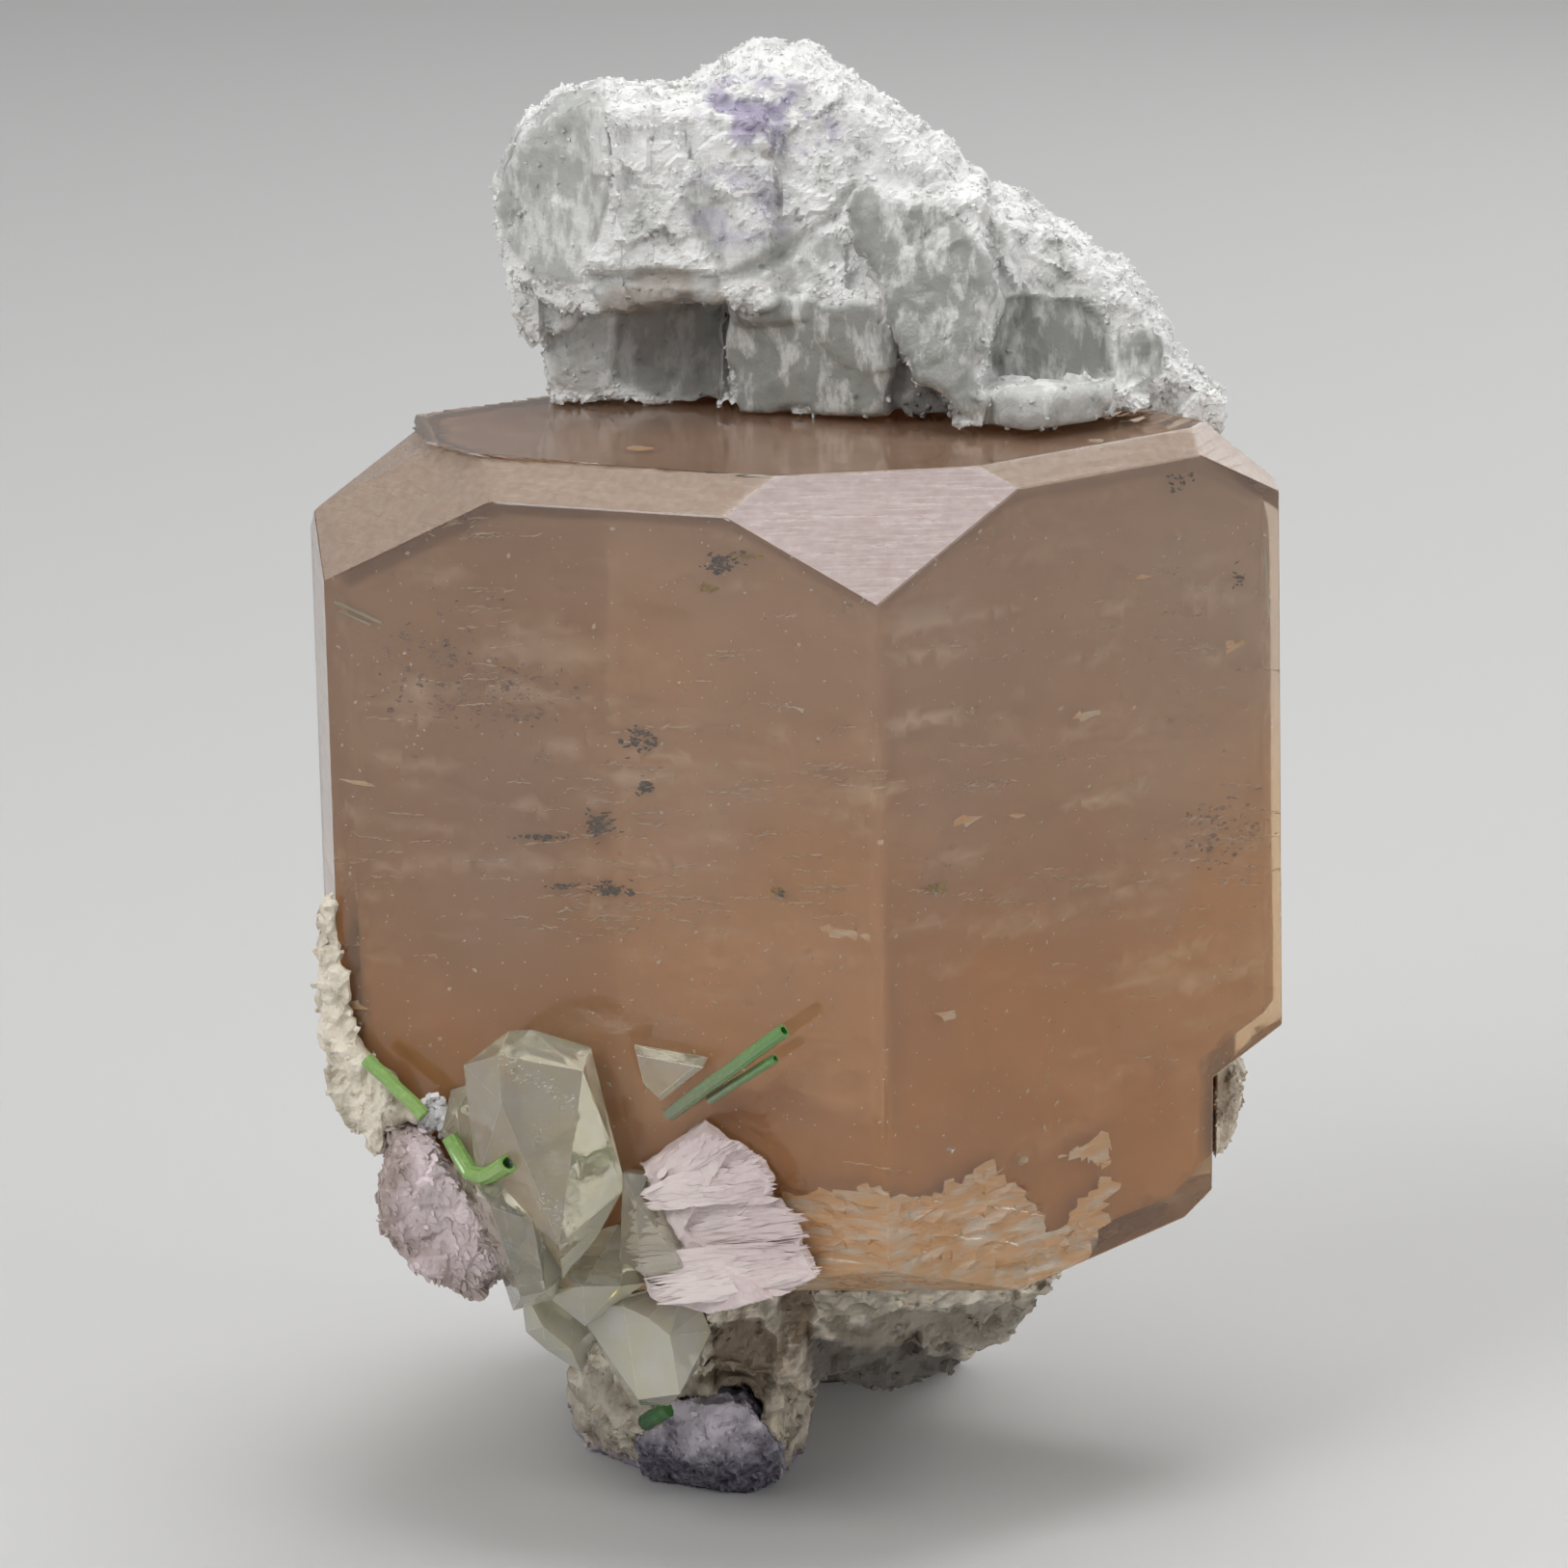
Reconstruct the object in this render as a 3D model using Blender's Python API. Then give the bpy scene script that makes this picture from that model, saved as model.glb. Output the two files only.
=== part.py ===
"""A morganite crystal on its matrix, standing on the flat underside of the matrix's foot.

Metres, +Z up. The front of the specimen looks along -Y, and the origin lies on the rest face.
An outline is a list of (x, z) points, seen from the front. A plan is a list of (x, y) points.
"""

import math
from collections import namedtuple

import bmesh
import bpy
from mathutils import Matrix, Vector

# A boulder has its full outline at mid depth, and its front and back are smaller by the taper.
# Turn moves its depth with x, and lean moves it with z.
Boulder = namedtuple("Boulder", "outline front back taper turn lean", defaults=(0.0, 0.0))

# A quartz crystal has a rim, the corners of the faces that look to the front, and a smaller back.
Quartz = namedtuple("Quartz", "rim face rim_depth front back")

# A prism runs along the line from its start to its end.
Prism = namedtuple("Prism", "start end radius")

# Driving dimensions of the crystal
CRYSTAL_CENTRE = Vector((0.0053, 0.0, 0.0600))
CRYSTAL_YAW = 8.0
CRYSTAL_LEAN = -1.2
BASAL_DISTANCE = 0.0304
PYRAMID_POLAR = 30.0
SECOND_PYRAMID_POLAR = 44.9

# Distances of the faces from the crystal's centre, by azimuth in degrees, 0 facing the front
PRISM_DISTANCES = {
    -30: 0.0240,
    30: 0.0276,
    90: 0.0402,
    150: 0.0212,
    -150: 0.0250,
    -90: 0.0380,
}
PYRAMID_DISTANCES = {
    -30: 0.0361,
    30: 0.0387,
    90: 0.0436,
    150: 0.0362,
    -150: 0.0371,
    -90: 0.0404,
}
SECOND_PYRAMID_DISTANCES = {
    0: 0.0362,
    60: 0.0450,
    120: 0.0400,
    180: 0.0360,
    -120: 0.0415,
    -60: 0.0397,
}

# Change of depth with x along the crystal's front left face
FRONT_LEFT_SLOPE = -math.tan(math.radians(30.0 - CRYSTAL_YAW))

# Broken lower end of the crystal: a point on each fracture and the fracture's outward direction
FRACTURES = (
    (Vector((0.0150, -0.0080, 0.0225)), Vector((0.0, 0.0, -1.0))),
    (Vector((0.0150, -0.0250, 0.0248)), Vector((0.0, -0.50, -1.0))),
    (Vector((0.0340, -0.0120, 0.0245)), Vector((0.20, 0.0, -1.0))),
    (Vector((0.0395, -0.0090, 0.0262)), Vector((0.62, 0.0, -0.78))),
    (Vector((-0.0220, 0.0, 0.0295)), Vector((-0.54, 0.0, -0.84))),
)
NOTCH_INSET = 0.0408
NOTCH_ROOT = 0.0369
NOTCH_MOUTH = 0.0475
NOTCH_TOP = 0.0405

# Space left between two pieces that touch
GAP = 0.0003

# Reach of the blocks that the crystal and the notch are cut from
BLOCK_REACH = 0.0900

# Facets that meet at less than this many degrees become one
FLAT_ANGLE = 0.5

# Boulders of the albite cap
CAP_BOULDERS = {
    "back": Boulder(
        front=0.0080,
        back=0.0250,
        taper=0.80,
        outline=[
            (-0.0120, 0.1090), (-0.0070, 0.1140), (0.0060, 0.1160), (0.0170, 0.1095), (0.0260, 0.1020),
            (0.0310, 0.0950), (0.0300, 0.0880), (-0.0080, 0.0880), (-0.0130, 0.0960),
        ],
    ),
    "left block": Boulder(
        front=0.0030,
        back=0.0170,
        taper=0.95,
        turn=-0.45,
        outline=[
            (-0.0084, 0.1168), (-0.0103, 0.1169), (-0.0135, 0.1160), (-0.0160, 0.1136), (-0.0168, 0.1115),
            (-0.0183, 0.1081), (-0.0183, 0.1040), (-0.0179, 0.1018), (-0.0130, 0.0990), (-0.0070, 0.0990),
        ],
    ),
    "left tip": Boulder(
        front=0.0060,
        back=0.0130,
        taper=0.80,
        outline=[
            (-0.0179, 0.1018), (-0.0172, 0.1001), (-0.0163, 0.0963),
            (-0.0149, 0.0953), (-0.0120, 0.0975), (-0.0100, 0.1007),
        ],
    ),
    "shoulder": Boulder(
        front=0.0020,
        back=0.0180,
        taper=0.94,
        lean=0.15,
        outline=[(-0.0096, 0.1167), (-0.0031, 0.1162), (0.0040, 0.1155), (0.0050, 0.0995), (-0.0097, 0.0995)],
    ),
    "peak": Boulder(
        front=0.0050,
        back=0.0210,
        taper=0.82,
        lean=0.20,
        outline=[
            (-0.0032, 0.1160), (-0.0023, 0.1170), (0.0011, 0.1187), (0.0029, 0.1200), (0.0073, 0.1191),
            (0.0103, 0.1165), (0.0143, 0.1150), (0.0186, 0.1116), (0.0220, 0.1078), (0.0219, 0.0960),
            (0.0010, 0.0960),
        ],
    ),
    "recess": Boulder(
        front=0.0080,
        back=0.0180,
        taper=0.94,
        outline=[
            (-0.0150, 0.0976), (-0.0147, 0.0946), (-0.0133, 0.0924), (-0.0138, 0.0890),
            (0.0030, 0.0880), (0.0030, 0.1010), (-0.0110, 0.1014),
        ],
    ),
    "centre": Boulder(
        front=0.0030,
        back=0.0140,
        taper=0.95,
        turn=-0.30,
        lean=-0.10,
        outline=[(0.0004, 0.1010), (0.0142, 0.1020), (0.0142, 0.0880), (-0.0006, 0.0880), (-0.0009, 0.0977)],
    ),
    "sill": Boulder(
        front=0.0010,
        back=0.0180,
        taper=0.95,
        outline=[(0.0120, 0.0960), (0.0160, 0.0970), (0.0215, 0.0935), (0.0215, 0.0880), (0.0120, 0.0880)],
    ),
    "blade": Boulder(
        front=-0.0010,
        back=0.0160,
        taper=0.93,
        turn=-0.20,
        lean=0.25,
        outline=[
            (0.0112, 0.1089), (0.0149, 0.1103), (0.0218, 0.1091), (0.0225, 0.1007), (0.0216, 0.0880),
            (0.0200, 0.0900), (0.0154, 0.0957), (0.0133, 0.1014), (0.0116, 0.1047),
        ],
    ),
    "slope": Boulder(
        front=0.0040,
        back=0.0200,
        taper=0.88,
        turn=0.20,
        lean=0.10,
        outline=[
            (0.0203, 0.1080), (0.0247, 0.1072), (0.0276, 0.1046), (0.0302, 0.1024), (0.0342, 0.1004),
            (0.0365, 0.0971), (0.0387, 0.0933), (0.0360, 0.0880), (0.0200, 0.0880),
        ],
    ),
    "toe": Boulder(
        front=0.0060,
        back=0.0160,
        taper=0.88,
        outline=[(0.0340, 0.0972), (0.0386, 0.0934), (0.0418, 0.0907), (0.0421, 0.0880), (0.0340, 0.0880)],
    ),
}

# The plate at the cap's front
PLATE_PLAN = [
    (0.0205, -0.0010), (0.0251, -0.0057), (0.0310, -0.0020),
    (0.0350, 0.0020), (0.0340, 0.0100), (0.0205, 0.0100),
]
PLATE_BOTTOM = 0.0880
PLATE_TOP = 0.0936

# Plans of the foot, where it rests and from its waist up
REST_PLAN = [
    (-0.0124, 0.0094), (-0.0113, 0.0058), (-0.0087, 0.0030), (-0.0051, -0.0022), (-0.0003, -0.0047),
    (0.0023, -0.0055), (0.0042, -0.0040), (0.0049, -0.0027), (0.0065, 0.0035), (0.0068, 0.0089),
    (0.0070, 0.0180), (-0.0020, 0.0240), (-0.0120, 0.0220), (-0.0126, 0.0160),
]
FOOT_PLAN = [
    (-0.0124, -0.0020), (-0.0080, -0.0080), (-0.0010, -0.0105), (0.0050, -0.0090),
    (0.0069, -0.0032), (0.0075, 0.0180), (-0.0020, 0.0250), (-0.0126, 0.0230),
]
FOOT_WAIST = 0.0070
FOOT_TOP = 0.0230

# Plans of the toe at the back, where it rests and where it meets the crystal
TOE_PLAN = [
    (-0.0040, 0.0210), (0.0090, 0.0255), (0.0180, 0.0250),
    (0.0210, 0.0290), (0.0150, 0.0330), (-0.0040, 0.0320),
]
TOE_TOP_PLAN = [(-0.0080, 0.0160), (0.0220, 0.0160), (0.0230, 0.0280), (0.0140, 0.0320), (-0.0080, 0.0330)]
TOE_TOP = 0.0260

# Boulders of the matrix under, beside and behind the crystal
MATRIX_BOULDERS = {
    "seat": Boulder(
        front=-0.0150,
        back=0.0220,
        taper=0.90,
        outline=[
            (-0.0230, 0.0290), (-0.0160, 0.0180), (-0.0120, 0.0130),
            (0.0080, 0.0120), (0.0230, 0.0170), (0.0270, 0.0270),
        ],
    ),
    "right lobe": Boulder(
        front=-0.0120,
        back=0.0090,
        taper=0.82,
        lean=-0.70,
        outline=[
            (0.0060, 0.0140), (0.0086, 0.0092), (0.0120, 0.0090), (0.0150, 0.0084), (0.0168, 0.0090),
            (0.0200, 0.0124), (0.0245, 0.0160), (0.0275, 0.0198), (0.0295, 0.0240), (0.0060, 0.0250),
        ],
    ),
    "left crust": Boulder(
        front=-0.0145,
        back=0.0060,
        taper=0.92,
        turn=-0.40,
        outline=[
            (-0.0318, 0.0430), (-0.0324, 0.0390), (-0.0318, 0.0366), (-0.0305, 0.0345), (-0.0280, 0.0330),
            (-0.0262, 0.0300), (-0.0180, 0.0225), (-0.0235, 0.0330), (-0.0250, 0.0375), (-0.0300, 0.0420),
        ],
    ),
    "left rim": Boulder(
        front=-0.0120,
        back=0.0040,
        taper=0.94,
        outline=[
            (-0.0322, 0.0538), (-0.0327, 0.0500), (-0.0327, 0.0400),
            (-0.0290, 0.0360), (-0.0310, 0.0430), (-0.0312, 0.0530),
        ],
    ),
    "back crust": Boulder(
        front=0.0040,
        back=0.0310,
        taper=0.90,
        turn=0.78,
        outline=[
            (-0.0300, 0.0450), (-0.0260, 0.0570), (-0.0130, 0.0600), (-0.0030, 0.0480), (-0.0020, 0.0280),
            (-0.0060, 0.0140), (-0.0160, 0.0140), (-0.0260, 0.0280),
        ],
    ),
    "back boulder": Boulder(
        front=0.0120,
        back=0.0360,
        taper=0.75,
        turn=0.20,
        outline=[
            (-0.0270, 0.0340), (-0.0160, 0.0420), (-0.0030, 0.0340), (0.0040, 0.0200), (-0.0040, 0.0080),
            (-0.0130, 0.0080), (-0.0230, 0.0190),
        ],
    ),
}

# Small albite patch below the notch
PATCH = Boulder(
    front=-0.0040,
    back=0.0100,
    taper=0.80,
    outline=[
        (0.0400, 0.0385), (0.0435, 0.0385), (0.0444, 0.0350),
        (0.0440, 0.0325), (0.0427, 0.0280), (0.0400, 0.0270),
    ],
)

# Lepidolite mass at the far left
LEPIDOLITE_LEFT = Boulder(
    front=-0.0190,
    back=-0.0080,
    taper=0.88,
    outline=[
        (-0.0276, 0.0313), (-0.0280, 0.0276), (-0.0266, 0.0256), (-0.0247, 0.0236), (-0.0213, 0.0209),
        (-0.0192, 0.0207), (-0.0172, 0.0240), (-0.0204, 0.0306), (-0.0242, 0.0348), (-0.0268, 0.0345),
    ],
)

# Lepidolite mass in the foot: a height and a plan for each level, the lowest on the ground
LEPIDOLITE_FOOT_LEVELS = (
    (
        0.0000,
        [(-0.0062, -0.0020), (-0.0051, -0.0028), (-0.0003, -0.0051), (0.0023, -0.0058), (0.0046, -0.0030)],
    ),
    (
        0.0045,
        [(-0.0072, -0.0070), (-0.0010, -0.0106), (0.0052, -0.0085), (0.0046, -0.0030), (-0.0066, -0.0020)],
    ),
    (
        0.0095,
        [(-0.0052, -0.0090), (-0.0010, -0.0110), (0.0020, -0.0104), (0.0020, -0.0060), (-0.0052, -0.0060)],
    ),
)

# Fan of lepidolite blades: the root that they share and the tips of each
FAN_ROOT = [(-0.0074, 0.0330), (-0.0060, 0.0230)]
FAN_TIPS = (
    [(-0.0024, 0.0368), (-0.0010, 0.0383), (0.0014, 0.0368)],
    [(0.0014, 0.0368), (0.0040, 0.0352), (0.0048, 0.0336), (0.0029, 0.0320)],
    [(0.0052, 0.0322), (0.0072, 0.0296), (0.0070, 0.0283)],
    [(0.0074, 0.0284), (0.0086, 0.0262), (0.0054, 0.0245)],
    [(0.0050, 0.0246), (-0.0006, 0.0222), (-0.0030, 0.0226)],
)
FAN_FRONT = -0.0265
FAN_BACK = -0.0215
FAN_TAPER = 0.92

# Clear shard lying on the crystal's front left face
SHARD = Boulder(
    front=-0.0247,
    back=-0.0200,
    taper=0.90,
    turn=FRONT_LEFT_SLOPE,
    outline=[(-0.0068, 0.0436), (-0.0008, 0.0432), (-0.0034, 0.0408), (-0.0046, 0.0396), (-0.0062, 0.0410)],
)

# Tourmaline prisms
LONG_NEEDLE = Prism(Vector((-0.0040, -0.0245, 0.0386)), Vector((0.0054, -0.0300, 0.0473)), 0.00062)
SHORT_NEEDLE = Prism(Vector((-0.0007, -0.0257, 0.0402)), Vector((0.0047, -0.0286, 0.0446)), 0.00042)
LEFT_NEEDLE = Prism(Vector((-0.0288, -0.0148, 0.0405)), Vector((-0.0239, -0.0175, 0.0364)), 0.00065)
ELBOW_UPPER = Prism(Vector((-0.0219, -0.0195, 0.0354)), Vector((-0.0197, -0.0210, 0.0318)), 0.00070)
ELBOW_LOWER = Prism(Vector((-0.0199, -0.0212, 0.0320)), Vector((-0.0171, -0.0216, 0.0326)), 0.00085)
FOOT_STUB = Prism(Vector((-0.0064, -0.0112, 0.0080)), Vector((-0.0042, -0.0122, 0.0097)), 0.00075)
PRISM_SIDES = 6

# Quartz crystals of the cluster, which overlap
QUARTZ_BACK_TAPER = 0.8
QUARTZ_CRYSTALS = {
    "big": Quartz(
        rim_depth=-0.0215,
        front=-0.0270,
        back=-0.0150,
        rim=[
            (-0.0206, 0.0419), (-0.0169, 0.0448), (-0.0151, 0.0449), (-0.0103, 0.0434), (-0.0090, 0.0370),
            (-0.0078, 0.0328), (-0.0078, 0.0313), (-0.0099, 0.0274), (-0.0127, 0.0238), (-0.0196, 0.0320),
        ],
        face=[(-0.0175, 0.0443), (-0.0174, 0.0404), (-0.0135, 0.0334), (-0.0128, 0.0285), (-0.0108, 0.0430)],
    ),
    "side": Quartz(
        rim_depth=-0.0240,
        front=-0.0275,
        back=-0.0180,
        rim=[
            (-0.0077, 0.0336), (-0.0056, 0.0334), (-0.0025, 0.0284),
            (-0.0013, 0.0250), (-0.0028, 0.0235), (-0.0080, 0.0262),
        ],
        face=[(-0.0066, 0.0322), (-0.0050, 0.0300), (-0.0030, 0.0268), (-0.0062, 0.0262)],
    ),
    "low": Quartz(
        rim_depth=-0.0165,
        front=-0.0215,
        back=-0.0100,
        rim=[
            (-0.0121, 0.0201), (-0.0083, 0.0229), (-0.0063, 0.0225), (-0.0029, 0.0217), (-0.0014, 0.0195),
            (-0.0007, 0.0177), (-0.0018, 0.0146), (-0.0042, 0.0113), (-0.0071, 0.0114),
        ],
        face=[(-0.0078, 0.0215), (-0.0058, 0.0205), (-0.0040, 0.0190), (-0.0032, 0.0140), (-0.0066, 0.0135)],
    ),
    "left": Quartz(
        rim_depth=-0.0180,
        front=-0.0205,
        back=-0.0150,
        rim=[
            (-0.0218, 0.0388), (-0.0200, 0.0394), (-0.0190, 0.0330),
            (-0.0190, 0.0296), (-0.0208, 0.0300), (-0.0226, 0.0352),
        ],
        face=[(-0.0212, 0.0378), (-0.0200, 0.0372)],
    ),
    "flank": Quartz(
        rim_depth=-0.0205,
        front=-0.0255,
        back=-0.0140,
        rim=[
            (-0.0206, 0.0330), (-0.0150, 0.0345), (-0.0115, 0.0260),
            (-0.0135, 0.0218), (-0.0168, 0.0208), (-0.0178, 0.0240),
        ],
        face=[(-0.0184, 0.0312), (-0.0150, 0.0300), (-0.0140, 0.0240), (-0.0160, 0.0236)],
    ),
    "bridge": Quartz(
        rim_depth=-0.0190,
        front=-0.0240,
        back=-0.0120,
        rim=[(-0.0140, 0.0250), (-0.0070, 0.0300), (-0.0040, 0.0230), (-0.0110, 0.0190), (-0.0140, 0.0215)],
        face=[(-0.0110, 0.0240), (-0.0080, 0.0240)],
    ),
    "corner": Quartz(
        rim_depth=-0.0140,
        front=-0.0175,
        back=-0.0090,
        rim=[
            (-0.0165, 0.0212), (-0.0160, 0.0169), (-0.0144, 0.0154),
            (-0.0114, 0.0133), (-0.0095, 0.0180), (-0.0120, 0.0220),
        ],
        face=[(-0.0145, 0.0185), (-0.0122, 0.0165)],
    ),
}

# Colour, roughness, transmission and index of refraction of each mineral
MINERALS = {
    "morganite": ((0.44, 0.23, 0.15), 0.12, 0.85, 1.58),
    "albite": ((0.62, 0.62, 0.57), 0.62, 0.0, 1.53),
    "quartz": ((0.60, 0.57, 0.42), 0.10, 0.90, 1.54),
    "lepidolite": ((0.52, 0.40, 0.50), 0.48, 0.0, 1.56),
    "tourmaline": ((0.10, 0.36, 0.06), 0.18, 0.30, 1.63),
}


def clear_scene():
    for old in list(bpy.data.objects):
        bpy.data.objects.remove(old, do_unlink=True)


def mineral(name):
    """The material of one mineral."""
    if name in bpy.data.materials:
        return bpy.data.materials[name]
    colour, roughness, transmission, index = MINERALS[name]
    made = bpy.data.materials.new(name)
    made.use_nodes = True
    shader = made.node_tree.nodes["Principled BSDF"]
    shader.inputs["Base Color"].default_value = (*colour, 1.0)
    shader.inputs["Roughness"].default_value = roughness
    shader.inputs["Transmission Weight"].default_value = transmission
    shader.inputs["IOR"].default_value = index
    made.diffuse_color = (*colour, 1.0)
    return made


def mesh_object(name, shape):
    """A linked object made from a bmesh, which is freed."""
    bmesh.ops.recalc_face_normals(shape, faces=shape.faces)
    mesh = bpy.data.meshes.new(name)
    shape.to_mesh(mesh)
    shape.free()
    made = bpy.data.objects.new(name, mesh)
    bpy.context.scene.collection.objects.link(made)
    return made


def helper(made):
    """Keeps an object out of the model: it only shapes another one."""
    made.hide_render = True
    made.display_type = "WIRE"
    return made


def combine(target, tool, operation):
    boolean = target.modifiers.new(tool.name, "BOOLEAN")
    boolean.operation = operation
    boolean.solver = "EXACT"
    boolean.object = tool


def hull(name, points):
    """The convex body around some points."""
    shape = bmesh.new()
    for point in points:
        shape.verts.new(point)
    made = bmesh.ops.convex_hull(shape, input=shape.verts)
    spare = [item for item in made["geom_interior"] if isinstance(item, bmesh.types.BMVert)]
    bmesh.ops.delete(shape, geom=spare, context="VERTS")
    limit = math.radians(FLAT_ANGLE)
    bmesh.ops.dissolve_limit(shape, angle_limit=limit, verts=shape.verts, edges=shape.edges)
    return mesh_object(name, shape)


def grown(points, margin):
    """The points moved out from their middle, so that their hull grows by at least the margin."""
    low = Vector([min(point[axis] for point in points) for axis in range(3)])
    high = Vector([max(point[axis] for point in points) for axis in range(3)])
    middle = (low + high) / 2
    scale = 1 + 2 * margin / min(high - low)
    return [middle + (point - middle) * scale for point in points]


def tapered(outline, taper):
    """The outline drawn in towards its middle."""
    centre_x = sum(x for x, _ in outline) / len(outline)
    centre_z = sum(z for _, z in outline) / len(outline)
    return [(centre_x + taper * (x - centre_x), centre_z + taper * (z - centre_z)) for x, z in outline]


def boulder_points(boulder):
    """Points of a boulder: three for each corner of its outline."""
    outline = boulder.outline
    centre_x = sum(x for x, _ in outline) / len(outline)
    centre_z = sum(z for _, z in outline) / len(outline)
    middle = (boulder.front + boulder.back) / 2
    points = []
    for (x, z), (inner_x, inner_z) in zip(outline, tapered(outline, boulder.taper)):
        shift = boulder.turn * (x - centre_x) + boulder.lean * (z - centre_z)
        points.append(Vector((inner_x, boulder.front + shift, inner_z)))
        points.append(Vector((x, middle + shift, z)))
        points.append(Vector((inner_x, boulder.back + shift, inner_z)))
    return points


def quartz_points(crystal):
    """Points of a quartz crystal: its rim, its front corners and its back."""
    points = [Vector((x, crystal.rim_depth, z)) for x, z in crystal.rim]
    points += [Vector((x, crystal.front, z)) for x, z in crystal.face]
    points += [Vector((x, crystal.back, z)) for x, z in tapered(crystal.rim, QUARTZ_BACK_TAPER)]
    return points


def prism_points(prism):
    """Points of a prism: the corners of its two ends."""
    turn = (prism.end - prism.start).to_track_quat("Z", "X")
    points = []
    for side in range(PRISM_SIDES):
        around = 2 * math.pi * side / PRISM_SIDES
        corner = turn @ Vector((prism.radius * math.cos(around), prism.radius * math.sin(around), 0))
        points.append(prism.start + corner)
        points.append(prism.end + corner)
    return points


def stack(levels):
    """Points of a body given by its levels, each a height and a plan."""
    return [Vector((x, y, height)) for height, plan in levels for x, y in plan]


def node(name, mineral_name, chunks, cutters):
    """One named piece: the union of its chunks, less the room that its neighbours take."""
    first, *others = chunks
    made = hull(name, first)
    made.data.materials.append(mineral(mineral_name))
    for number, points in enumerate(others):
        combine(made, helper(hull(f"{name}_chunk_{number}", points)), "UNION")
    for cutter in cutters:
        combine(made, cutter, "DIFFERENCE")
    return made


def room_for(name, chunks):
    """Helpers that clear the room of a neighbour's chunks, with the gap around them."""
    return [helper(hull(f"{name}_room_{number}", grown(points, GAP))) for number, points in enumerate(chunks)]


def crystal_planes(margin):
    """A point and an outward direction for each face of the crystal, moved out by the margin."""
    tilt = Matrix.Rotation(math.radians(CRYSTAL_LEAN), 3, "Y")
    faces = [(0.0, 0.0, BASAL_DISTANCE)]
    faces += [(azimuth, 90.0, distance) for azimuth, distance in PRISM_DISTANCES.items()]
    faces += [(azimuth, PYRAMID_POLAR, distance) for azimuth, distance in PYRAMID_DISTANCES.items()]
    faces += [
        (azimuth, SECOND_PYRAMID_POLAR, distance)
        for azimuth, distance in SECOND_PYRAMID_DISTANCES.items()
    ]
    planes = []
    for azimuth, polar, distance in faces:
        around = math.radians(azimuth + CRYSTAL_YAW)
        down = math.radians(polar)
        upright = Vector(
            (math.sin(down) * math.sin(around), -math.sin(down) * math.cos(around), math.cos(down))
        )
        normal = tilt @ upright
        planes.append((CRYSTAL_CENTRE + normal * (distance + margin), normal))
    for point, direction in FRACTURES:
        normal = direction.normalized()
        planes.append((point + normal * margin, normal))
    return planes


def crystal_body(name, margin):
    """The morganite crystal: a block cut by each of its planes, with the notch broken out."""
    shape = bmesh.new()
    bmesh.ops.create_cube(shape, size=2 * BLOCK_REACH, matrix=Matrix.Translation(CRYSTAL_CENTRE))
    for point, normal in crystal_planes(margin):
        everything = [*shape.verts, *shape.edges, *shape.faces]
        cut = bmesh.ops.bisect_plane(
            shape,
            geom=everything,
            plane_co=point,
            plane_no=normal,
            clear_outer=True,
        )
        rim = [item for item in cut["geom_cut"] if isinstance(item, bmesh.types.BMEdge)]
        if rim:
            bmesh.ops.edgeloop_fill(shape, edges=rim)
    made = mesh_object(name, shape)
    notch = [
        (NOTCH_INSET + margin, NOTCH_ROOT - margin),
        (NOTCH_MOUTH, NOTCH_TOP - margin),
        (BLOCK_REACH, NOTCH_TOP - margin),
        (BLOCK_REACH, 0.0),
        (NOTCH_INSET + margin, 0.0),
    ]
    corners = [Vector((x, depth, z)) for x, z in notch for depth in (-BLOCK_REACH, BLOCK_REACH)]
    combine(made, helper(hull(f"{name}_notch", corners)), "DIFFERENCE")
    return made


def cap_chunks():
    plate = stack([(PLATE_BOTTOM, PLATE_PLAN), (PLATE_TOP, PLATE_PLAN)])
    return [*map(boulder_points, CAP_BOULDERS.values()), plate]


def matrix_chunks():
    foot = stack([(0.0, REST_PLAN), (FOOT_WAIST, FOOT_PLAN), (FOOT_TOP, FOOT_PLAN)])
    toe = stack([(0.0, TOE_PLAN), (TOE_TOP, TOE_TOP_PLAN)])
    return [foot, toe, *map(boulder_points, MATRIX_BOULDERS.values())]


def fan_chunks():
    """Blades of lepidolite that spread from one root over the crystal's front left face."""
    blades = []
    for tips in FAN_TIPS:
        blade = Boulder([*FAN_ROOT, *tips], FAN_FRONT, FAN_BACK, FAN_TAPER, FRONT_LEFT_SLOPE)
        blades.append(boulder_points(blade))
    return blades


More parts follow.
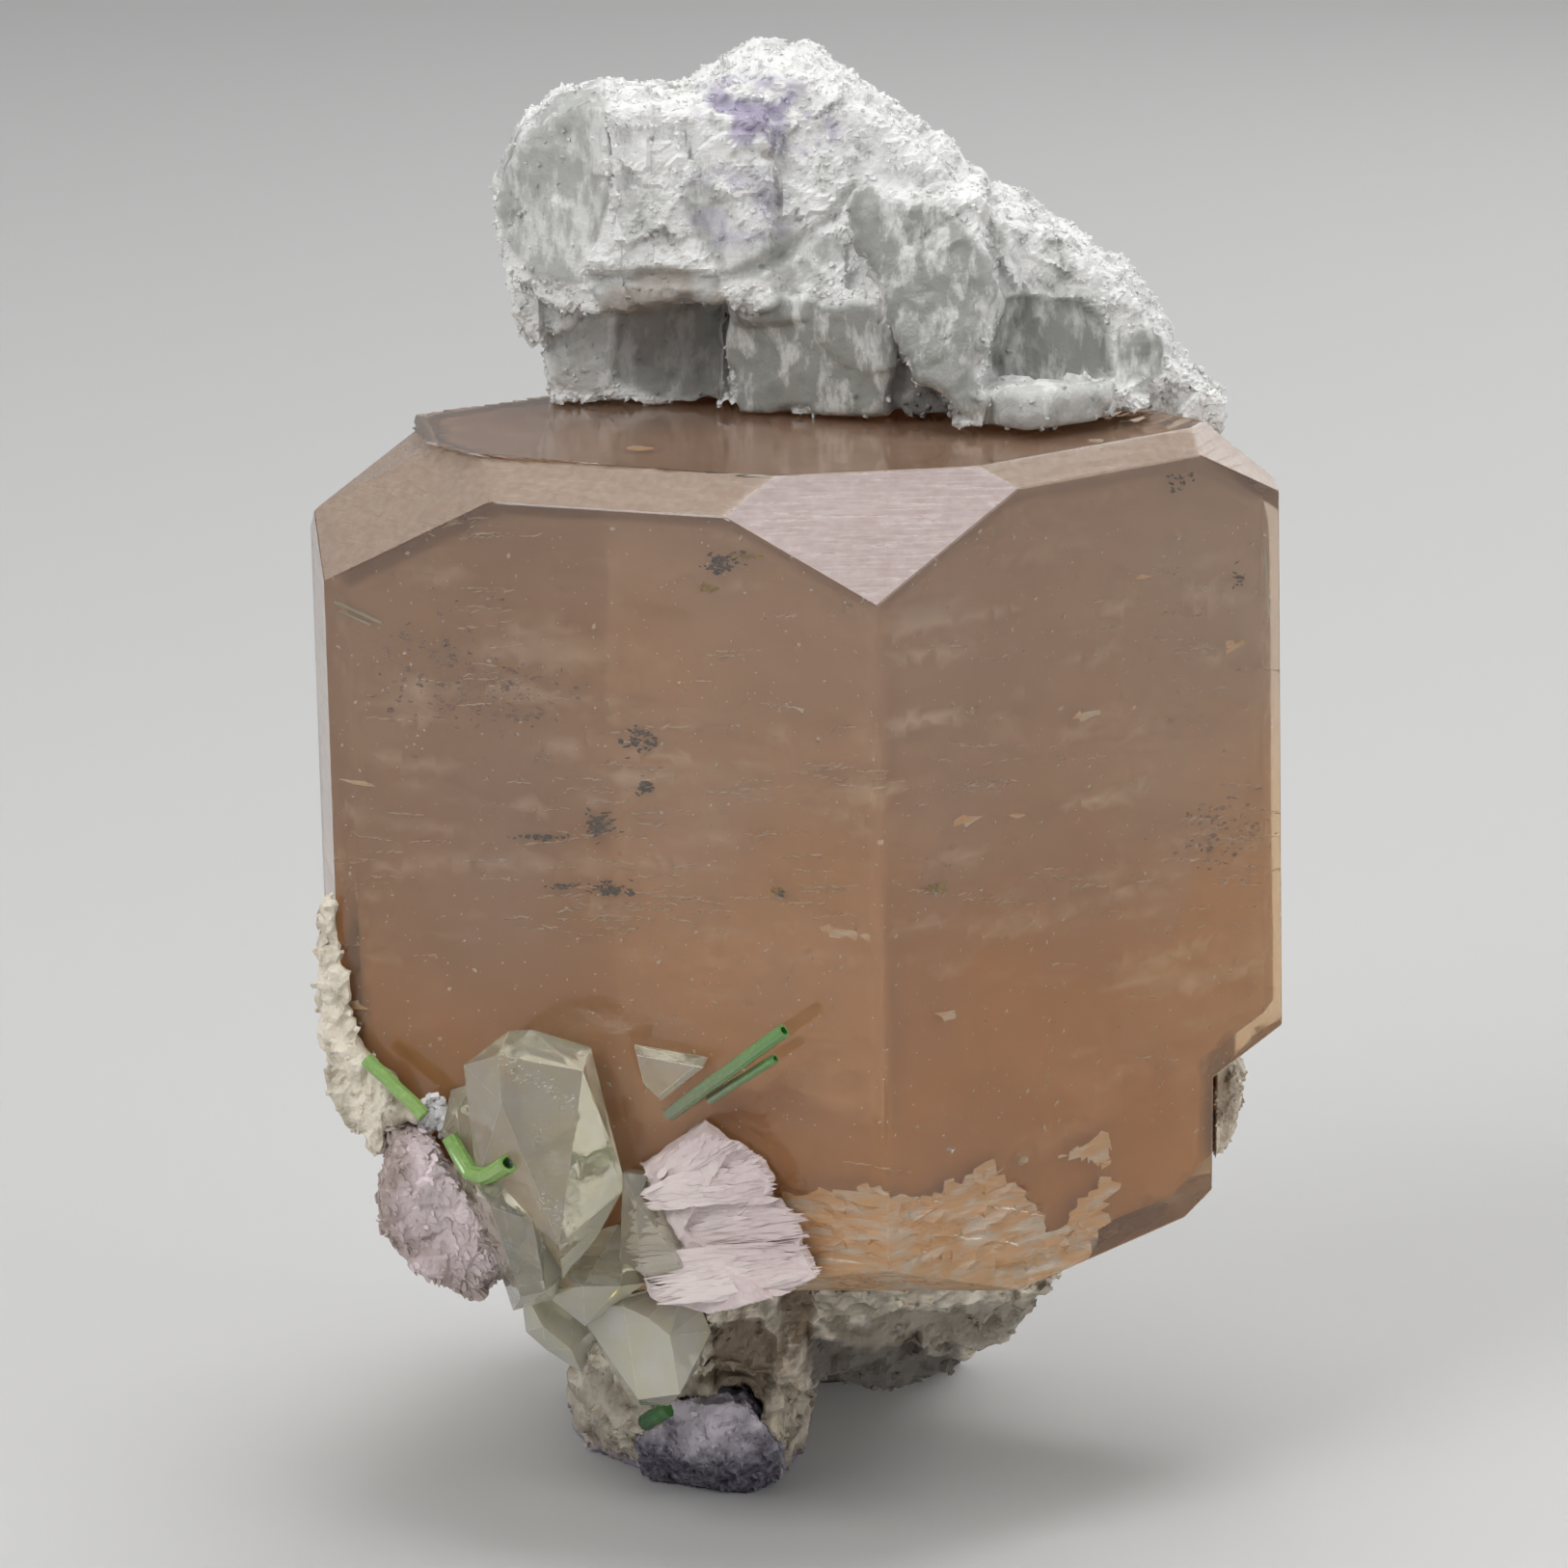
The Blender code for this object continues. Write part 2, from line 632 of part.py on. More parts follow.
def build():
    clear_scene()
    crystal = crystal_body("morganite_crystal", 0.0)
    crystal.data.materials.append(mineral("morganite"))
    crystal_room = [helper(crystal_body("morganite_room", GAP))]

    quartz = [quartz_points(crystal) for crystal in QUARTZ_CRYSTALS.values()]
    elbow = [prism_points(ELBOW_UPPER), prism_points(ELBOW_LOWER)]
    left_needle = [prism_points(LEFT_NEEDLE)]
    foot_stub = [prism_points(FOOT_STUB)]
    left_lepidolite = [boulder_points(LEPIDOLITE_LEFT)]
    foot_lepidolite = [stack(LEPIDOLITE_FOOT_LEVELS)]
    fan = fan_chunks()

    elbow_room = room_for("elbow", elbow)
    stub_room = room_for("foot_stub", foot_stub)
    quartz_room = room_for("quartz", quartz)

    node("tourmaline_long_needle", "tourmaline", [prism_points(LONG_NEEDLE)], [])
    node("tourmaline_short_needle", "tourmaline", [prism_points(SHORT_NEEDLE)], [])
    node("tourmaline_left_needle", "tourmaline", left_needle, [])
    node("tourmaline_elbow", "tourmaline", elbow, crystal_room)
    node("tourmaline_foot_stub", "tourmaline", foot_stub, [])
    node("quartz_cluster", "quartz", quartz, [*crystal_room, *elbow_room])
    node("quartz_shard", "quartz", [boulder_points(SHARD)], crystal_room)

    soft_room = [*crystal_room, *quartz_room, *elbow_room]
    node("lepidolite_left", "lepidolite", left_lepidolite, soft_room)
    node("lepidolite_fan", "lepidolite", fan, soft_room)
    node("lepidolite_foot", "lepidolite", foot_lepidolite, [*quartz_room, *stub_room])

    lepidolite_room = room_for("lepidolite", [*left_lepidolite, *foot_lepidolite, *fan])
    needle_room = [*elbow_room, *stub_room, *room_for("left_needle", left_needle)]
    matrix_room = [*crystal_room, *quartz_room, *lepidolite_room, *needle_room]
    node("albite_matrix", "albite", matrix_chunks(), matrix_room)
    node("albite_cap", "albite", cap_chunks(), crystal_room)
    node("albite_patch", "albite", [boulder_points(PATCH)], crystal_room)


build()
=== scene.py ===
"""Looks of the morganite specimen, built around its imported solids.

Metres, +Z up, with the front along -Y. Places written as pixels are places in the 1626 x 1626 frame
that the camera sees, and lengths in the tables are in millimetres where a name ends in _MM.
"""

import math

import bmesh
import bpy
import numpy as np
from mathutils import Matrix, Vector, geometry
from mathutils.bvhtree import BVHTree


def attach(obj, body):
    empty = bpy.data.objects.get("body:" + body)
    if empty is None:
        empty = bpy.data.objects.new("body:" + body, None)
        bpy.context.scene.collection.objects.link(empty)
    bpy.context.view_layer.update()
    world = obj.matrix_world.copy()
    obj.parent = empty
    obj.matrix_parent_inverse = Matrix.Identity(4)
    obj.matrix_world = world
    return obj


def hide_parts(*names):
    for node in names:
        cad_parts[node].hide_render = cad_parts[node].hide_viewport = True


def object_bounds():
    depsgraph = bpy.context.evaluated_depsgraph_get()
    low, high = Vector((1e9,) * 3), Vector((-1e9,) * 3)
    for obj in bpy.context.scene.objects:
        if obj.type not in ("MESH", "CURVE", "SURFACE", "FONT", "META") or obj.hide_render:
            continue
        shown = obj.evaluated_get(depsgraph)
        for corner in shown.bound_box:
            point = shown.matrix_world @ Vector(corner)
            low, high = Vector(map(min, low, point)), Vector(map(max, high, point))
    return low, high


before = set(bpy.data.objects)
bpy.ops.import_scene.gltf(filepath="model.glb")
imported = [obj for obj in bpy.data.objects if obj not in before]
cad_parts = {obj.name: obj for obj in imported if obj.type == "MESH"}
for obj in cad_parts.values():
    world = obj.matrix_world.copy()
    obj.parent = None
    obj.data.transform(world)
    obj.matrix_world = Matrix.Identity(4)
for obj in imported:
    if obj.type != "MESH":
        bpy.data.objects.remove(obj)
CAD_LOW, CAD_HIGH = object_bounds()

MM = 0.001
rng = np.random.default_rng(11)

# Camera, at the photograph's angle
CAMERA_PLACE = Vector((0.0053, -0.62126, 0.21375))
CAMERA_TILT = math.radians(76.1)
CAMERA_LENS = 177.12
CAMERA_SENSOR = 36.0
FRAME_SIDE = 1626
FOCAL_PIXELS = CAMERA_LENS / CAMERA_SENSOR * FRAME_SIDE

BERYL_INDEX = 1.58

# Height where the crystal turns from its paler upper half to its more orange lower half
COLOUR_LOW = 0.030
COLOUR_HIGH = 0.078

# Colours
PEACH_UPPER = (0.95, 0.80, 0.66)
PEACH_LOWER = (1.00, 0.76, 0.47)
PEACH_PALE = (0.98, 0.90, 0.82)
PEACH_BROKEN = (0.98, 0.60, 0.30)
PEACH_DEEP = (0.87, 0.50, 0.22)
BERYL_DENSITY = 18.0
HAZE_ORANGE = (0.91, 0.47, 0.18)
HAZE_GREY = (0.69, 0.47, 0.31)
HAZE_PALE = (0.98, 0.84, 0.70)
CREAM_LIGHT = (0.98, 0.86, 0.68)
FROSTED = (0.66, 0.51, 0.48)
FROSTED_LIGHT = (0.82, 0.70, 0.67)
SATIN = (0.62, 0.47, 0.36)
SATIN_LIGHT = (0.76, 0.61, 0.49)
ALBITE_WHITE = (0.87, 0.87, 0.85)
ALBITE_GREY = (0.29, 0.30, 0.27)
ALBITE_VEIN = (0.84, 0.85, 0.82)
VIOLET = (0.36, 0.31, 0.46)
BROWN = (0.30, 0.20, 0.12)
# Painted shade for the rock's hollows, overhangs, cracks and undersides
SHADOWED = (0.08, 0.07, 0.06)


# Places in the picture


def pixel_ray(px, py):
    """Direction from the camera through a place in the picture."""
    across = (px - FRAME_SIDE / 2) / FOCAL_PIXELS
    up = (FRAME_SIDE / 2 - py) / FOCAL_PIXELS
    return (Matrix.Rotation(CAMERA_TILT, 3, "X") @ Vector((across, up, -1.0))).normalized()


def to_pixels(points):
    """Places in the picture of an array of points."""
    turn = np.array(Matrix.Rotation(CAMERA_TILT, 3, "X"))
    local = (points - np.array(CAMERA_PLACE)) @ turn
    return np.stack(
        [
            FRAME_SIDE / 2 - FOCAL_PIXELS * local[:, 0] / local[:, 2],
            FRAME_SIDE / 2 + FOCAL_PIXELS * local[:, 1] / local[:, 2],
        ],
        axis=1,
    )


def merged(node):
    """The solid of a CAD node with each flat face in one piece."""
    shape = bmesh.new()
    shape.from_mesh(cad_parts[node].data)
    bmesh.ops.remove_doubles(shape, verts=shape.verts, dist=1e-6)
    bmesh.ops.dissolve_limit(shape, angle_limit=math.radians(0.3), verts=shape.verts, edges=shape.edges)
    return shape


TREES = {}


def hit(node, px, py):
    """Where the sight line through a place in the picture meets a node, and the normal there."""
    if node not in TREES:
        shape = merged(node)
        bmesh.ops.triangulate(shape, faces=shape.faces)
        TREES[node] = BVHTree.FromBMesh(shape)
        shape.free()
    place, normal, _, _ = TREES[node].ray_cast(CAMERA_PLACE, pixel_ray(px, py))
    return place, normal


def inside(px, py, depth):
    """A point inside the crystal that the refracted sight line passes at this depth, or None."""
    place, normal = hit("morganite_crystal", px, py)
    if place is None:
        return None
    ray = pixel_ray(px, py)
    facing = -ray.dot(normal)
    bent = 1 - (1 - facing * facing) / BERYL_INDEX**2
    direction = ray / BERYL_INDEX + normal * (facing / BERYL_INDEX - math.sqrt(bent))
    return place + direction * depth


# Noise


def lattice(cells, seed):
    """Repeatable numbers from 0 to 1 for whole-number cells."""
    x, y, z = (cells[..., axis].astype(np.int64) for axis in range(3))
    mixed = (x * 374761393 + y * 668265263 + z * 1103515245 + seed * 974634777) & 0xFFFFFFFF
    mixed = ((mixed ^ (mixed >> 13)) * 1274126177) & 0xFFFFFFFF
    return ((mixed ^ (mixed >> 16)) & 0xFFFFFF) / 0xFFFFFF


def waves(points, scale, seed=0):
    """Smooth noise from -1 to 1 whose features are about one scale long."""
    cells = points / scale
    base = np.floor(cells)
    part = cells - base
    part = part * part * (3 - 2 * part)
    base = base.astype(np.int64)
    total = np.zeros(len(points))
    for corner in np.ndindex(2, 2, 2):
        weight = np.prod(np.where(corner, part, 1 - part), axis=1)
        total += weight * lattice(base + np.array(corner), seed)
    return 2 * total - 1


def rough(points, scale, octaves, seed=0):
    """Noise with finer and weaker octaves."""
    return sum(waves(points, scale / 2**n, seed + n) / 2**n for n in range(octaves))


def cells(points, scale, seed=0):
    """Distances to the two nearest of some scattered centres, the nearest centre and its cell."""
    scaled = points / scale
    base = np.floor(scaled).astype(np.int64)
    near = np.full(len(points), 9.0)
    second = np.full(len(points), 9.0)
    centre = np.zeros_like(scaled)
    owner = np.zeros_like(base)
    for step in np.ndindex(3, 3, 3):
        cell = base + np.array(step) - 1
        place = cell + np.stack([lattice(cell, seed + axis) for axis in range(3)], axis=1)
        distance = np.linalg.norm(scaled - place, axis=1)
        closer = distance < near
        second = np.where(closer, near, np.minimum(second, distance))
        near = np.where(closer, distance, near)
        centre[closer] = place[closer]
        owner[closer] = cell[closer]
    return near, second, centre * scale, owner


def blocks(points, scale, seed=0):
    """Relief of tilted flat blocks, from about -1 to 1."""
    _, _, centre, owner = cells(points, scale, seed)
    tilt = np.stack([lattice(owner, seed + 10 + axis) for axis in range(3)], axis=1) - 0.5
    offset = lattice(owner, seed + 20) - 0.5
    return 2 * np.einsum("ij,ij->i", (points - centre) / scale, tilt) + offset


def ramp(values, low, high):
    """0 below low, 1 above high, smooth between."""
    part = np.clip((values - low) / (high - low), 0, 1)
    return part * part * (3 - 2 * part)


def spot(places, x, y, wide, high, turn=0.0):
    """1 in the middle of an ellipse in the picture, falling to 0 at its edge."""
    c, s = math.cos(math.radians(turn)), math.sin(math.radians(turn))
    across = (places[:, 0] - x) * c + (places[:, 1] - y) * s
    down = -(places[:, 0] - x) * s + (places[:, 1] - y) * c
    return 1 - ramp(np.hypot(across / wide, down / high), 0.45, 1.0)


def ring_reach(spots, corners):
    """How far flat places are inside an outline. It is negative outside."""
    crossing = np.zeros(len(spots), bool)
    clear = np.full(len(spots), 1e9)
    for start, end in zip(corners, np.roll(corners, -1, axis=0)):
        above = (start[1] > spots[:, 1]) != (end[1] > spots[:, 1])
        at = start[0] + (spots[:, 1] - start[1]) * (end[0] - start[0]) / (end[1] - start[1] + 1e-18)
        crossing ^= above & (spots[:, 0] < at)
        run = end - start
        part = np.clip(((spots - start) @ run) / (run @ run + 1e-18), 0, 1)
        clear = np.minimum(clear, np.linalg.norm(spots - start - part[:, None] * run, axis=1))
    return np.where(crossing, clear, -clear)


def within(places, outline, soft=8):
    """1 inside an outline in the picture and 0 outside, with a soft edge so many pixels wide."""
    return ramp(ring_reach(places, np.array(outline, float)), -soft / 2, soft / 2)


def along(places, line, width):
    """1 on a line in the picture, falling to 0 at its width."""
    best = np.full(len(places), 1e9)
    for start, end in zip(line, line[1:]):
        a, b = np.array(start, float), np.array(end, float)
        part = np.clip(((places - a) @ (b - a)) / ((b - a) @ (b - a)), 0, 1)
        best = np.minimum(best, np.linalg.norm(places - a - part[:, None] * (b - a), axis=1))
    return 1 - ramp(best, 0, width)


# Meshes


def new_object(name, points, faces, rounded=True, slots=None, sharp=None, **attributes):
    """An object with a value per point for each attribute."""
    mesh = bpy.data.meshes.new(name)
    mesh.from_pydata([tuple(p) for p in np.asarray(points, float)], [], [tuple(map(int, f)) for f in faces])
    for key, values in attributes.items():
        layer = mesh.attributes.new(key, "FLOAT", "POINT")
        layer.data.foreach_set("value", np.asarray(values, np.float32))
    flags = np.broadcast_to(np.asarray(rounded, bool), len(mesh.polygons))
    mesh.polygons.foreach_set("use_smooth", np.ascontiguousarray(flags))
    if slots is not None:
        mesh.polygons.foreach_set("material_index", np.asarray(slots, np.int32))
    if sharp is not None:
        mesh.set_sharp_from_angle(angle=math.radians(sharp))
    mesh.update()
    made = bpy.data.objects.new(name, mesh)
    bpy.context.scene.collection.objects.link(made)
    return made


def settle(made, slot, materials, *nodes):
    """Gives a piece its materials and its body, and hides the nodes that it stands for. The slot is not used."""
    for material in materials:
        made.data.materials.append(material)
    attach(made, "root")
    if nodes:
        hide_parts(*nodes)
    return made


def keep_in(points):
    """The points held inside the CAD box."""
    inset = 0.00002
    return np.clip(points, np.array(CAD_LOW) + inset, np.array(CAD_HIGH) - inset)


class Grains:
    """Many small closed bodies, gathered into one mesh."""

    def __init__(self):
        self.points = []
        self.faces = []
        self.shades = []
        self.count = 0

    def add(self, points, faces, shade):
        self.points.append(points)
        self.faces += [tuple(i + self.count for i in face) for face in faces]
        self.shades.append(np.full(len(points), shade))
        self.count += len(points)

    def plate(self, centre, normal, direction, length, width, thickness, sides, shade=0.5, ragged=0.25):
        """A thin plate with an uneven outline."""
        n = np.array(normal, float)
        n /= np.linalg.norm(n)
        u = np.array(direction, float)
        u = u - n * (u @ n)
        u /= max(np.linalg.norm(u), 1e-9)
        v = np.cross(n, u)
        angles = 2 * np.pi * (np.arange(sides) + rng.uniform(-0.25, 0.25, sides)) / sides
        reach = 1 - ragged * rng.random(sides)
        rim = np.outer(np.cos(angles) * reach * length / 2, u) + np.outer(np.sin(angles) * reach * width / 2, v)
        half = n * thickness / 2
        points = np.vstack([rim + half, rim - half]) + np.array(centre)
        faces = [tuple(range(sides)), tuple(reversed(range(sides, 2 * sides)))]
        for i in range(sides):
            j = (i + 1) % sides
            faces.append((j, i, sides + i, sides + j))
        self.add(points, faces, shade)

    def lump(self, centre, size, shade=0.5):
        """A small crooked block."""
        corners = np.array(list(np.ndindex(2, 2, 2)), float) - 0.5
        corners *= 1 + rng.uniform(-0.35, 0.35, (8, 3))
        turn = np.array(Matrix.Rotation(rng.uniform(0, 6.28), 3, Vector(rng.normal(size=3)).normalized()))
        faces = [(0, 1, 3, 2), (4, 6, 7, 5), (0, 4, 5, 1), (2, 3, 7, 6), (0, 2, 6, 4), (1, 5, 7, 3)]
        stretch = np.array([1.0, rng.uniform(0.6, 1.2), rng.uniform(0.5, 1.0)]) * size
        self.add((corners * stretch) @ turn.T + np.array(centre), faces, shade)

    def arrays(self):
        return np.vstack(self.points), self.faces, np.concatenate(self.shades)

    def object(self, name):
        points, faces, shades = self.arrays()
        return new_object(name, keep_in(points), faces, rounded=False, shade=shades)


# Materials


def material(name):
    made = bpy.data.materials.new(name)
    made.use_nodes = True
    return made, made.node_tree, made.node_tree.nodes["Principled BSDF"]


def add_node(tree, kind, **inputs):
    node = tree.nodes.new(kind)
    for key, value in inputs.items():
        node.inputs[key.replace("_", " ")].default_value = value
    return node


def place_of(tree):
    """The object's own coordinates."""
    return tree.nodes.new("ShaderNodeTexCoord").outputs["Object"]


def noise_node(tree, scale_mm, detail=3.0, stretch=None, roughness=0.55):
    """Noise whose features are about so many millimetres long."""
    made = add_node(tree, "ShaderNodeTexNoise", Scale=1 / (scale_mm * MM), Detail=detail, Roughness=roughness)
    source = place_of(tree)
    if stretch:
        mapping = add_node(tree, "ShaderNodeMapping", Scale=stretch)
        tree.links.new(source, mapping.inputs["Vector"])
        source = mapping.outputs["Vector"]
    tree.links.new(source, made.inputs["Vector"])
    return made.outputs["Fac"]


def remap(tree, value, low, high, to_low=0.0, to_high=1.0):
    made = tree.nodes.new("ShaderNodeMapRange")
    made.inputs["From Min"].default_value = low
    made.inputs["From Max"].default_value = high
    made.inputs["To Min"].default_value = to_low
    made.inputs["To Max"].default_value = to_high
    tree.links.new(value, made.inputs["Value"])
    return made.outputs["Result"]


def blend(tree, share, first, second):
    """A colour mix. Each side is a colour or a socket, and so is the share."""
    made = tree.nodes.new("ShaderNodeMix")
    made.data_type = "RGBA"
    for socket, value in zip((made.inputs[0], made.inputs[6], made.inputs[7]), (share, first, second)):
        if isinstance(value, bpy.types.NodeSocket):
            tree.links.new(value, socket)
        elif isinstance(value, tuple):
            socket.default_value = (*value, 1.0)
        else:
            socket.default_value = value
    return made.outputs[2]


def attribute(tree, name):
    made = tree.nodes.new("ShaderNodeAttribute")
    made.attribute_name = name
    return made.outputs["Fac"]


def bump(tree, shader, value, depth_mm, strength=None):
    made = add_node(tree, "ShaderNodeBump", Strength=1.0, Distance=depth_mm * MM)
    if strength:
        tree.links.new(strength, made.inputs["Strength"])
    tree.links.new(value, made.inputs["Height"])
    tree.links.new(made.outputs["Normal"], shader.inputs["Normal"])


def absorb(tree, colour, density):
    made = tree.nodes.new("ShaderNodeVolumeAbsorption")
    made.inputs["Color"].default_value = (*colour, 1.0)
    made.inputs["Density"].default_value = density
    tree.links.new(made.outputs["Volume"], tree.nodes["Material Output"].inputs["Volume"])


def body_colour(tree):
    """Peach: paler and greyer above, more orange below."""
    colour = blend(tree, attribute(tree, "height"), PEACH_LOWER, PEACH_UPPER)
    return blend(tree, attribute(tree, "cloudy"), colour, PEACH_PALE)


def broken_colour(tree):
    """Cream fracture streaks on peach."""
    streaks = noise_node(tree, 2.0, 5, stretch=(0.5, 0.5, 2.2), roughness=0.65)
    return blend(tree, remap(tree, streaks, 0.46, 0.64), PEACH_BROKEN, CREAM_LIGHT)


def frosted_colour(tree):
    speckle = remap(tree, noise_node(tree, 0.5, 5, stretch=(0.5, 0.5, 1.0)), 0.35, 0.7)
    return blend(tree, speckle, FROSTED, FROSTED_LIGHT)


def satin_colour(tree):
    return blend(tree, remap(tree, noise_node(tree, 0.7, 4), 0.35, 0.7), SATIN, SATIN_LIGHT)


def beryl(name, colour, roughness, transmission, grain_mm, depth_mm):
    """Clear to frosted beryl, with horizontal growth lines."""
    made, tree, shader = material(name)
    tree.links.new(colour(tree), shader.inputs["Base Color"])
    fine = noise_node(tree, grain_mm, 1, stretch=(0.1, 0.1, 1.8))
    tree.links.new(remap(tree, fine, 0.3, 0.8, roughness * 0.6, roughness * 1.5), shader.inputs["Roughness"])
    shader.inputs["IOR"].default_value = BERYL_INDEX
    shader.inputs["Transmission Weight"].default_value = transmission
    bump(tree, shader, fine, depth_mm)
    absorb(tree, PEACH_DEEP, BERYL_DENSITY)
    return made


BERYL = beryl("beryl", body_colour, 0.12, 0.92, 1.2, 0.008)
BERYL_FROSTED = beryl("beryl_frosted", frosted_colour, 0.40, 0.50, 0.5, 0.03)
BERYL_SATIN = beryl("beryl_satin", satin_colour, 0.26, 0.52, 0.8, 0.02)
BERYL_BROKEN = beryl("beryl_broken", broken_colour, 0.28, 0.58, 1.2, 0.10)


def rock_material(name, white, grey, patchy, roughness=0.6, gloss=0.28):
    """Albite: sugary white to smooth grey-green, with violet and brown places and painted shade in its dark places."""
    made, tree, shader = material(name)
    clouds = noise_node(tree, 3.0, 4, roughness=0.6)
    body = blend(tree, remap(tree, clouds, *patchy), white, grey)
    fine = noise_node(tree, 0.35, 2)
    body = blend(tree, remap(tree, fine, 0.5, 0.75, 0.0, 0.35), body, (0.90, 0.90, 0.89))
    smooth = attribute(tree, "smooth")
    veins = remap(tree, noise_node(tree, 2.6, 5, stretch=(1.3, 1.3, 0.5), roughness=0.65), 0.49, 0.61, 0.0, 0.85)
    body = blend(tree, smooth, body, blend(tree, veins, grey, ALBITE_VEIN))
    body = blend(tree, attribute(tree, "violet"), body, VIOLET)
    body = blend(tree, attribute(tree, "brown"), body, BROWN)
    # Painted shade: the dark attribute draws hollows, overhangs, cracks and undersides towards SHADOWED
    body = blend(tree, attribute(tree, "dark"), body, SHADOWED)
    tree.links.new(body, shader.inputs["Base Color"])
    tree.links.new(remap(tree, smooth, 0, 1, roughness, gloss), shader.inputs["Roughness"])
    bump(tree, shader, fine, 0.2, remap(tree, smooth, 0, 1, 0.9, 0.2))
    return made


ALBITE = rock_material("albite", ALBITE_WHITE, ALBITE_GREY, (0.52, 0.78))
MATRIX_ROCK = rock_material("albite_matrix", (0.88, 0.80, 0.66), (0.42, 0.36, 0.26), (0.44, 0.64))


def shaded(name, dark, light, roughness, transmission=0.0, alpha=1.0, index=1.5, metallic=0.0):
    """A small body's material, from dark to light by its shade."""
    made, tree, shader = material(name)
    mottle = remap(tree, noise_node(tree, 0.6, 3), 0.35, 0.7, 0.0, 0.3)
    colour = blend(tree, attribute(tree, "shade"), dark, light)
    tree.links.new(blend(tree, mottle, colour, light), shader.inputs["Base Color"])
    shader.inputs["Roughness"].default_value = roughness
    shader.inputs["Transmission Weight"].default_value = transmission
    shader.inputs["Alpha"].default_value = alpha
    shader.inputs["IOR"].default_value = index
    shader.inputs["Metallic"].default_value = metallic
    return made


def haze_material():
    """Cloudiness, which is more or less there: orange below, greyer above and pale in its wisps."""
    made, tree, shader = material("haze")
    body = blend(tree, attribute(tree, "height"), HAZE_ORANGE, HAZE_GREY)
    tree.links.new(blend(tree, attribute(tree, "pale"), body, HAZE_PALE), shader.inputs["Base Color"])
    shader.inputs["Roughness"].default_value = 0.6
    tree.links.new(attribute(tree, "share"), shader.inputs["Alpha"])
    return made


HAZE = haze_material()
SPARKLE = shaded("sparkle", (1.0, 0.93, 0.84), (1.0, 0.99, 0.97), 0.22)
VEIL = shaded("veil", (0.98, 0.80, 0.64), (1.0, 0.97, 0.91), 0.35)
FEATHER = shaded("feather", (0.98, 0.76, 0.54), (1.0, 0.93, 0.82), 0.40)
CLOUD = shaded("cloud", (0.30, 0.16, 0.16), (0.62, 0.42, 0.38), 0.5, alpha=0.5)
DARK = shaded("dark_fleck", (0.03, 0.025, 0.025), (0.10, 0.07, 0.07), 0.4)
OCHRE = shaded("ochre", (0.34, 0.20, 0.02), (0.62, 0.44, 0.05), 0.5)
WHITE_FLAKE = shaded("white_flake", (0.80, 0.78, 0.80), (0.95, 0.94, 0.95), 0.5)
LEPIDOLITE = shaded("lepidolite", (0.34, 0.26, 0.22), (0.86, 0.73, 0.76), 0.35)
LEPIDOLITE_FAN = shaded("lepidolite_fan", (0.58, 0.43, 0.45), (0.84, 0.74, 0.71), 0.45)
LEPIDOLITE_DARK = shaded("lepidolite_foot", (0.03, 0.025, 0.05), (0.76, 0.70, 0.77), 0.40)
SEALED_NEEDLE = shaded("sealed_needle", (0.50, 0.62, 0.42), (0.86, 0.90, 0.80), 0.30)


def quartz_material(name, transmission, roughness, density=14.0):
    made, tree, shader = material(name)
    haze = remap(tree, noise_node(tree, 3, 3), 0.4, 0.7)
    tree.links.new(blend(tree, haze, (0.96, 0.92, 0.72), (0.99, 0.98, 0.92)), shader.inputs["Base Color"])
    fine = noise_node(tree, 1.2, 2)
    tree.links.new(remap(tree, fine, 0.4, 0.7, roughness * 0.5, roughness * 1.8), shader.inputs["Roughness"])
    shader.inputs["IOR"].default_value = 1.54
    shader.inputs["Transmission Weight"].default_value = transmission
    bump(tree, shader, fine, 0.01)
    absorb(tree, (0.86, 0.80, 0.46), density)
    return made


QUARTZ = quartz_material("quartz", 0.80, 0.04)
QUARTZ_EDGE = quartz_material("quartz_edge", 0.50, 0.35, 4.0)
# Painted light: a less clear, less tinted copy of the quartz, for the lower crystals in shade
QUARTZ_PAINTED_LIGHT = quartz_material("quartz_painted_light", 0.50, 0.05, 4.0)


def green_material(name, low, high, transmission):
    made, tree, shader = material(name)
    streaks = noise_node(tree, 0.4, 3, stretch=(1.0, 1.0, 1.0))
    colour = blend(tree, attribute(tree, "shade"), low, high)
    pale = tuple(min(1.0, 1.5 * c + 0.06) for c in high)
    tree.links.new(blend(tree, remap(tree, streaks, 0.5, 0.8, 0.0, 0.5), colour, pale), shader.inputs["Base Color"])
    shader.inputs["Roughness"].default_value = 0.16
    shader.inputs["IOR"].default_value = 1.63
    shader.inputs["Transmission Weight"].default_value = transmission
    return made


TOURMALINE = green_material("tourmaline", (0.30, 0.32, 0.22), (0.20, 0.42, 0.14), 0.25)
TOURMALINE_BRIGHT = green_material("tourmaline_bright", (0.36, 0.62, 0.18), (0.42, 0.68, 0.20), 0.35)
TOURMALINE_DARK = green_material("tourmaline_dark", (0.02, 0.07, 0.02), (0.05, 0.18, 0.04), 0.0)


# The crystals


def fill_outline(rim, corners, across, up):
    """Points inside a flat outline, their distance from it, and triangles between them and its rim."""
    low, high = corners.min(0), corners.max(0)
    grid_u, grid_w = np.meshgrid(np.arange(low[0], high[0], across), np.arange(low[1], high[1], up))
    grid = np.stack([grid_u.ravel(), grid_w.ravel()], axis=1)
    grid += rng.uniform(-0.2, 0.2, grid.shape) * (across, up)
    clear = ring_reach(grid, corners)
    kept = clear > 0.6 * up
    inner = grid[kept]
    flat = [Vector(p) / MM for p in np.vstack([rim, inner])]
    edges = [(i, (i + 1) % len(rim)) for i in range(len(rim))]
    _, _, triangles, sources, _, _ = geometry.delaunay_2d_cdt(flat, edges, [], 1, 1e-7)
    return inner, clear[kept], [tuple(sources[i][0] for i in triangle) for triangle in triangles]


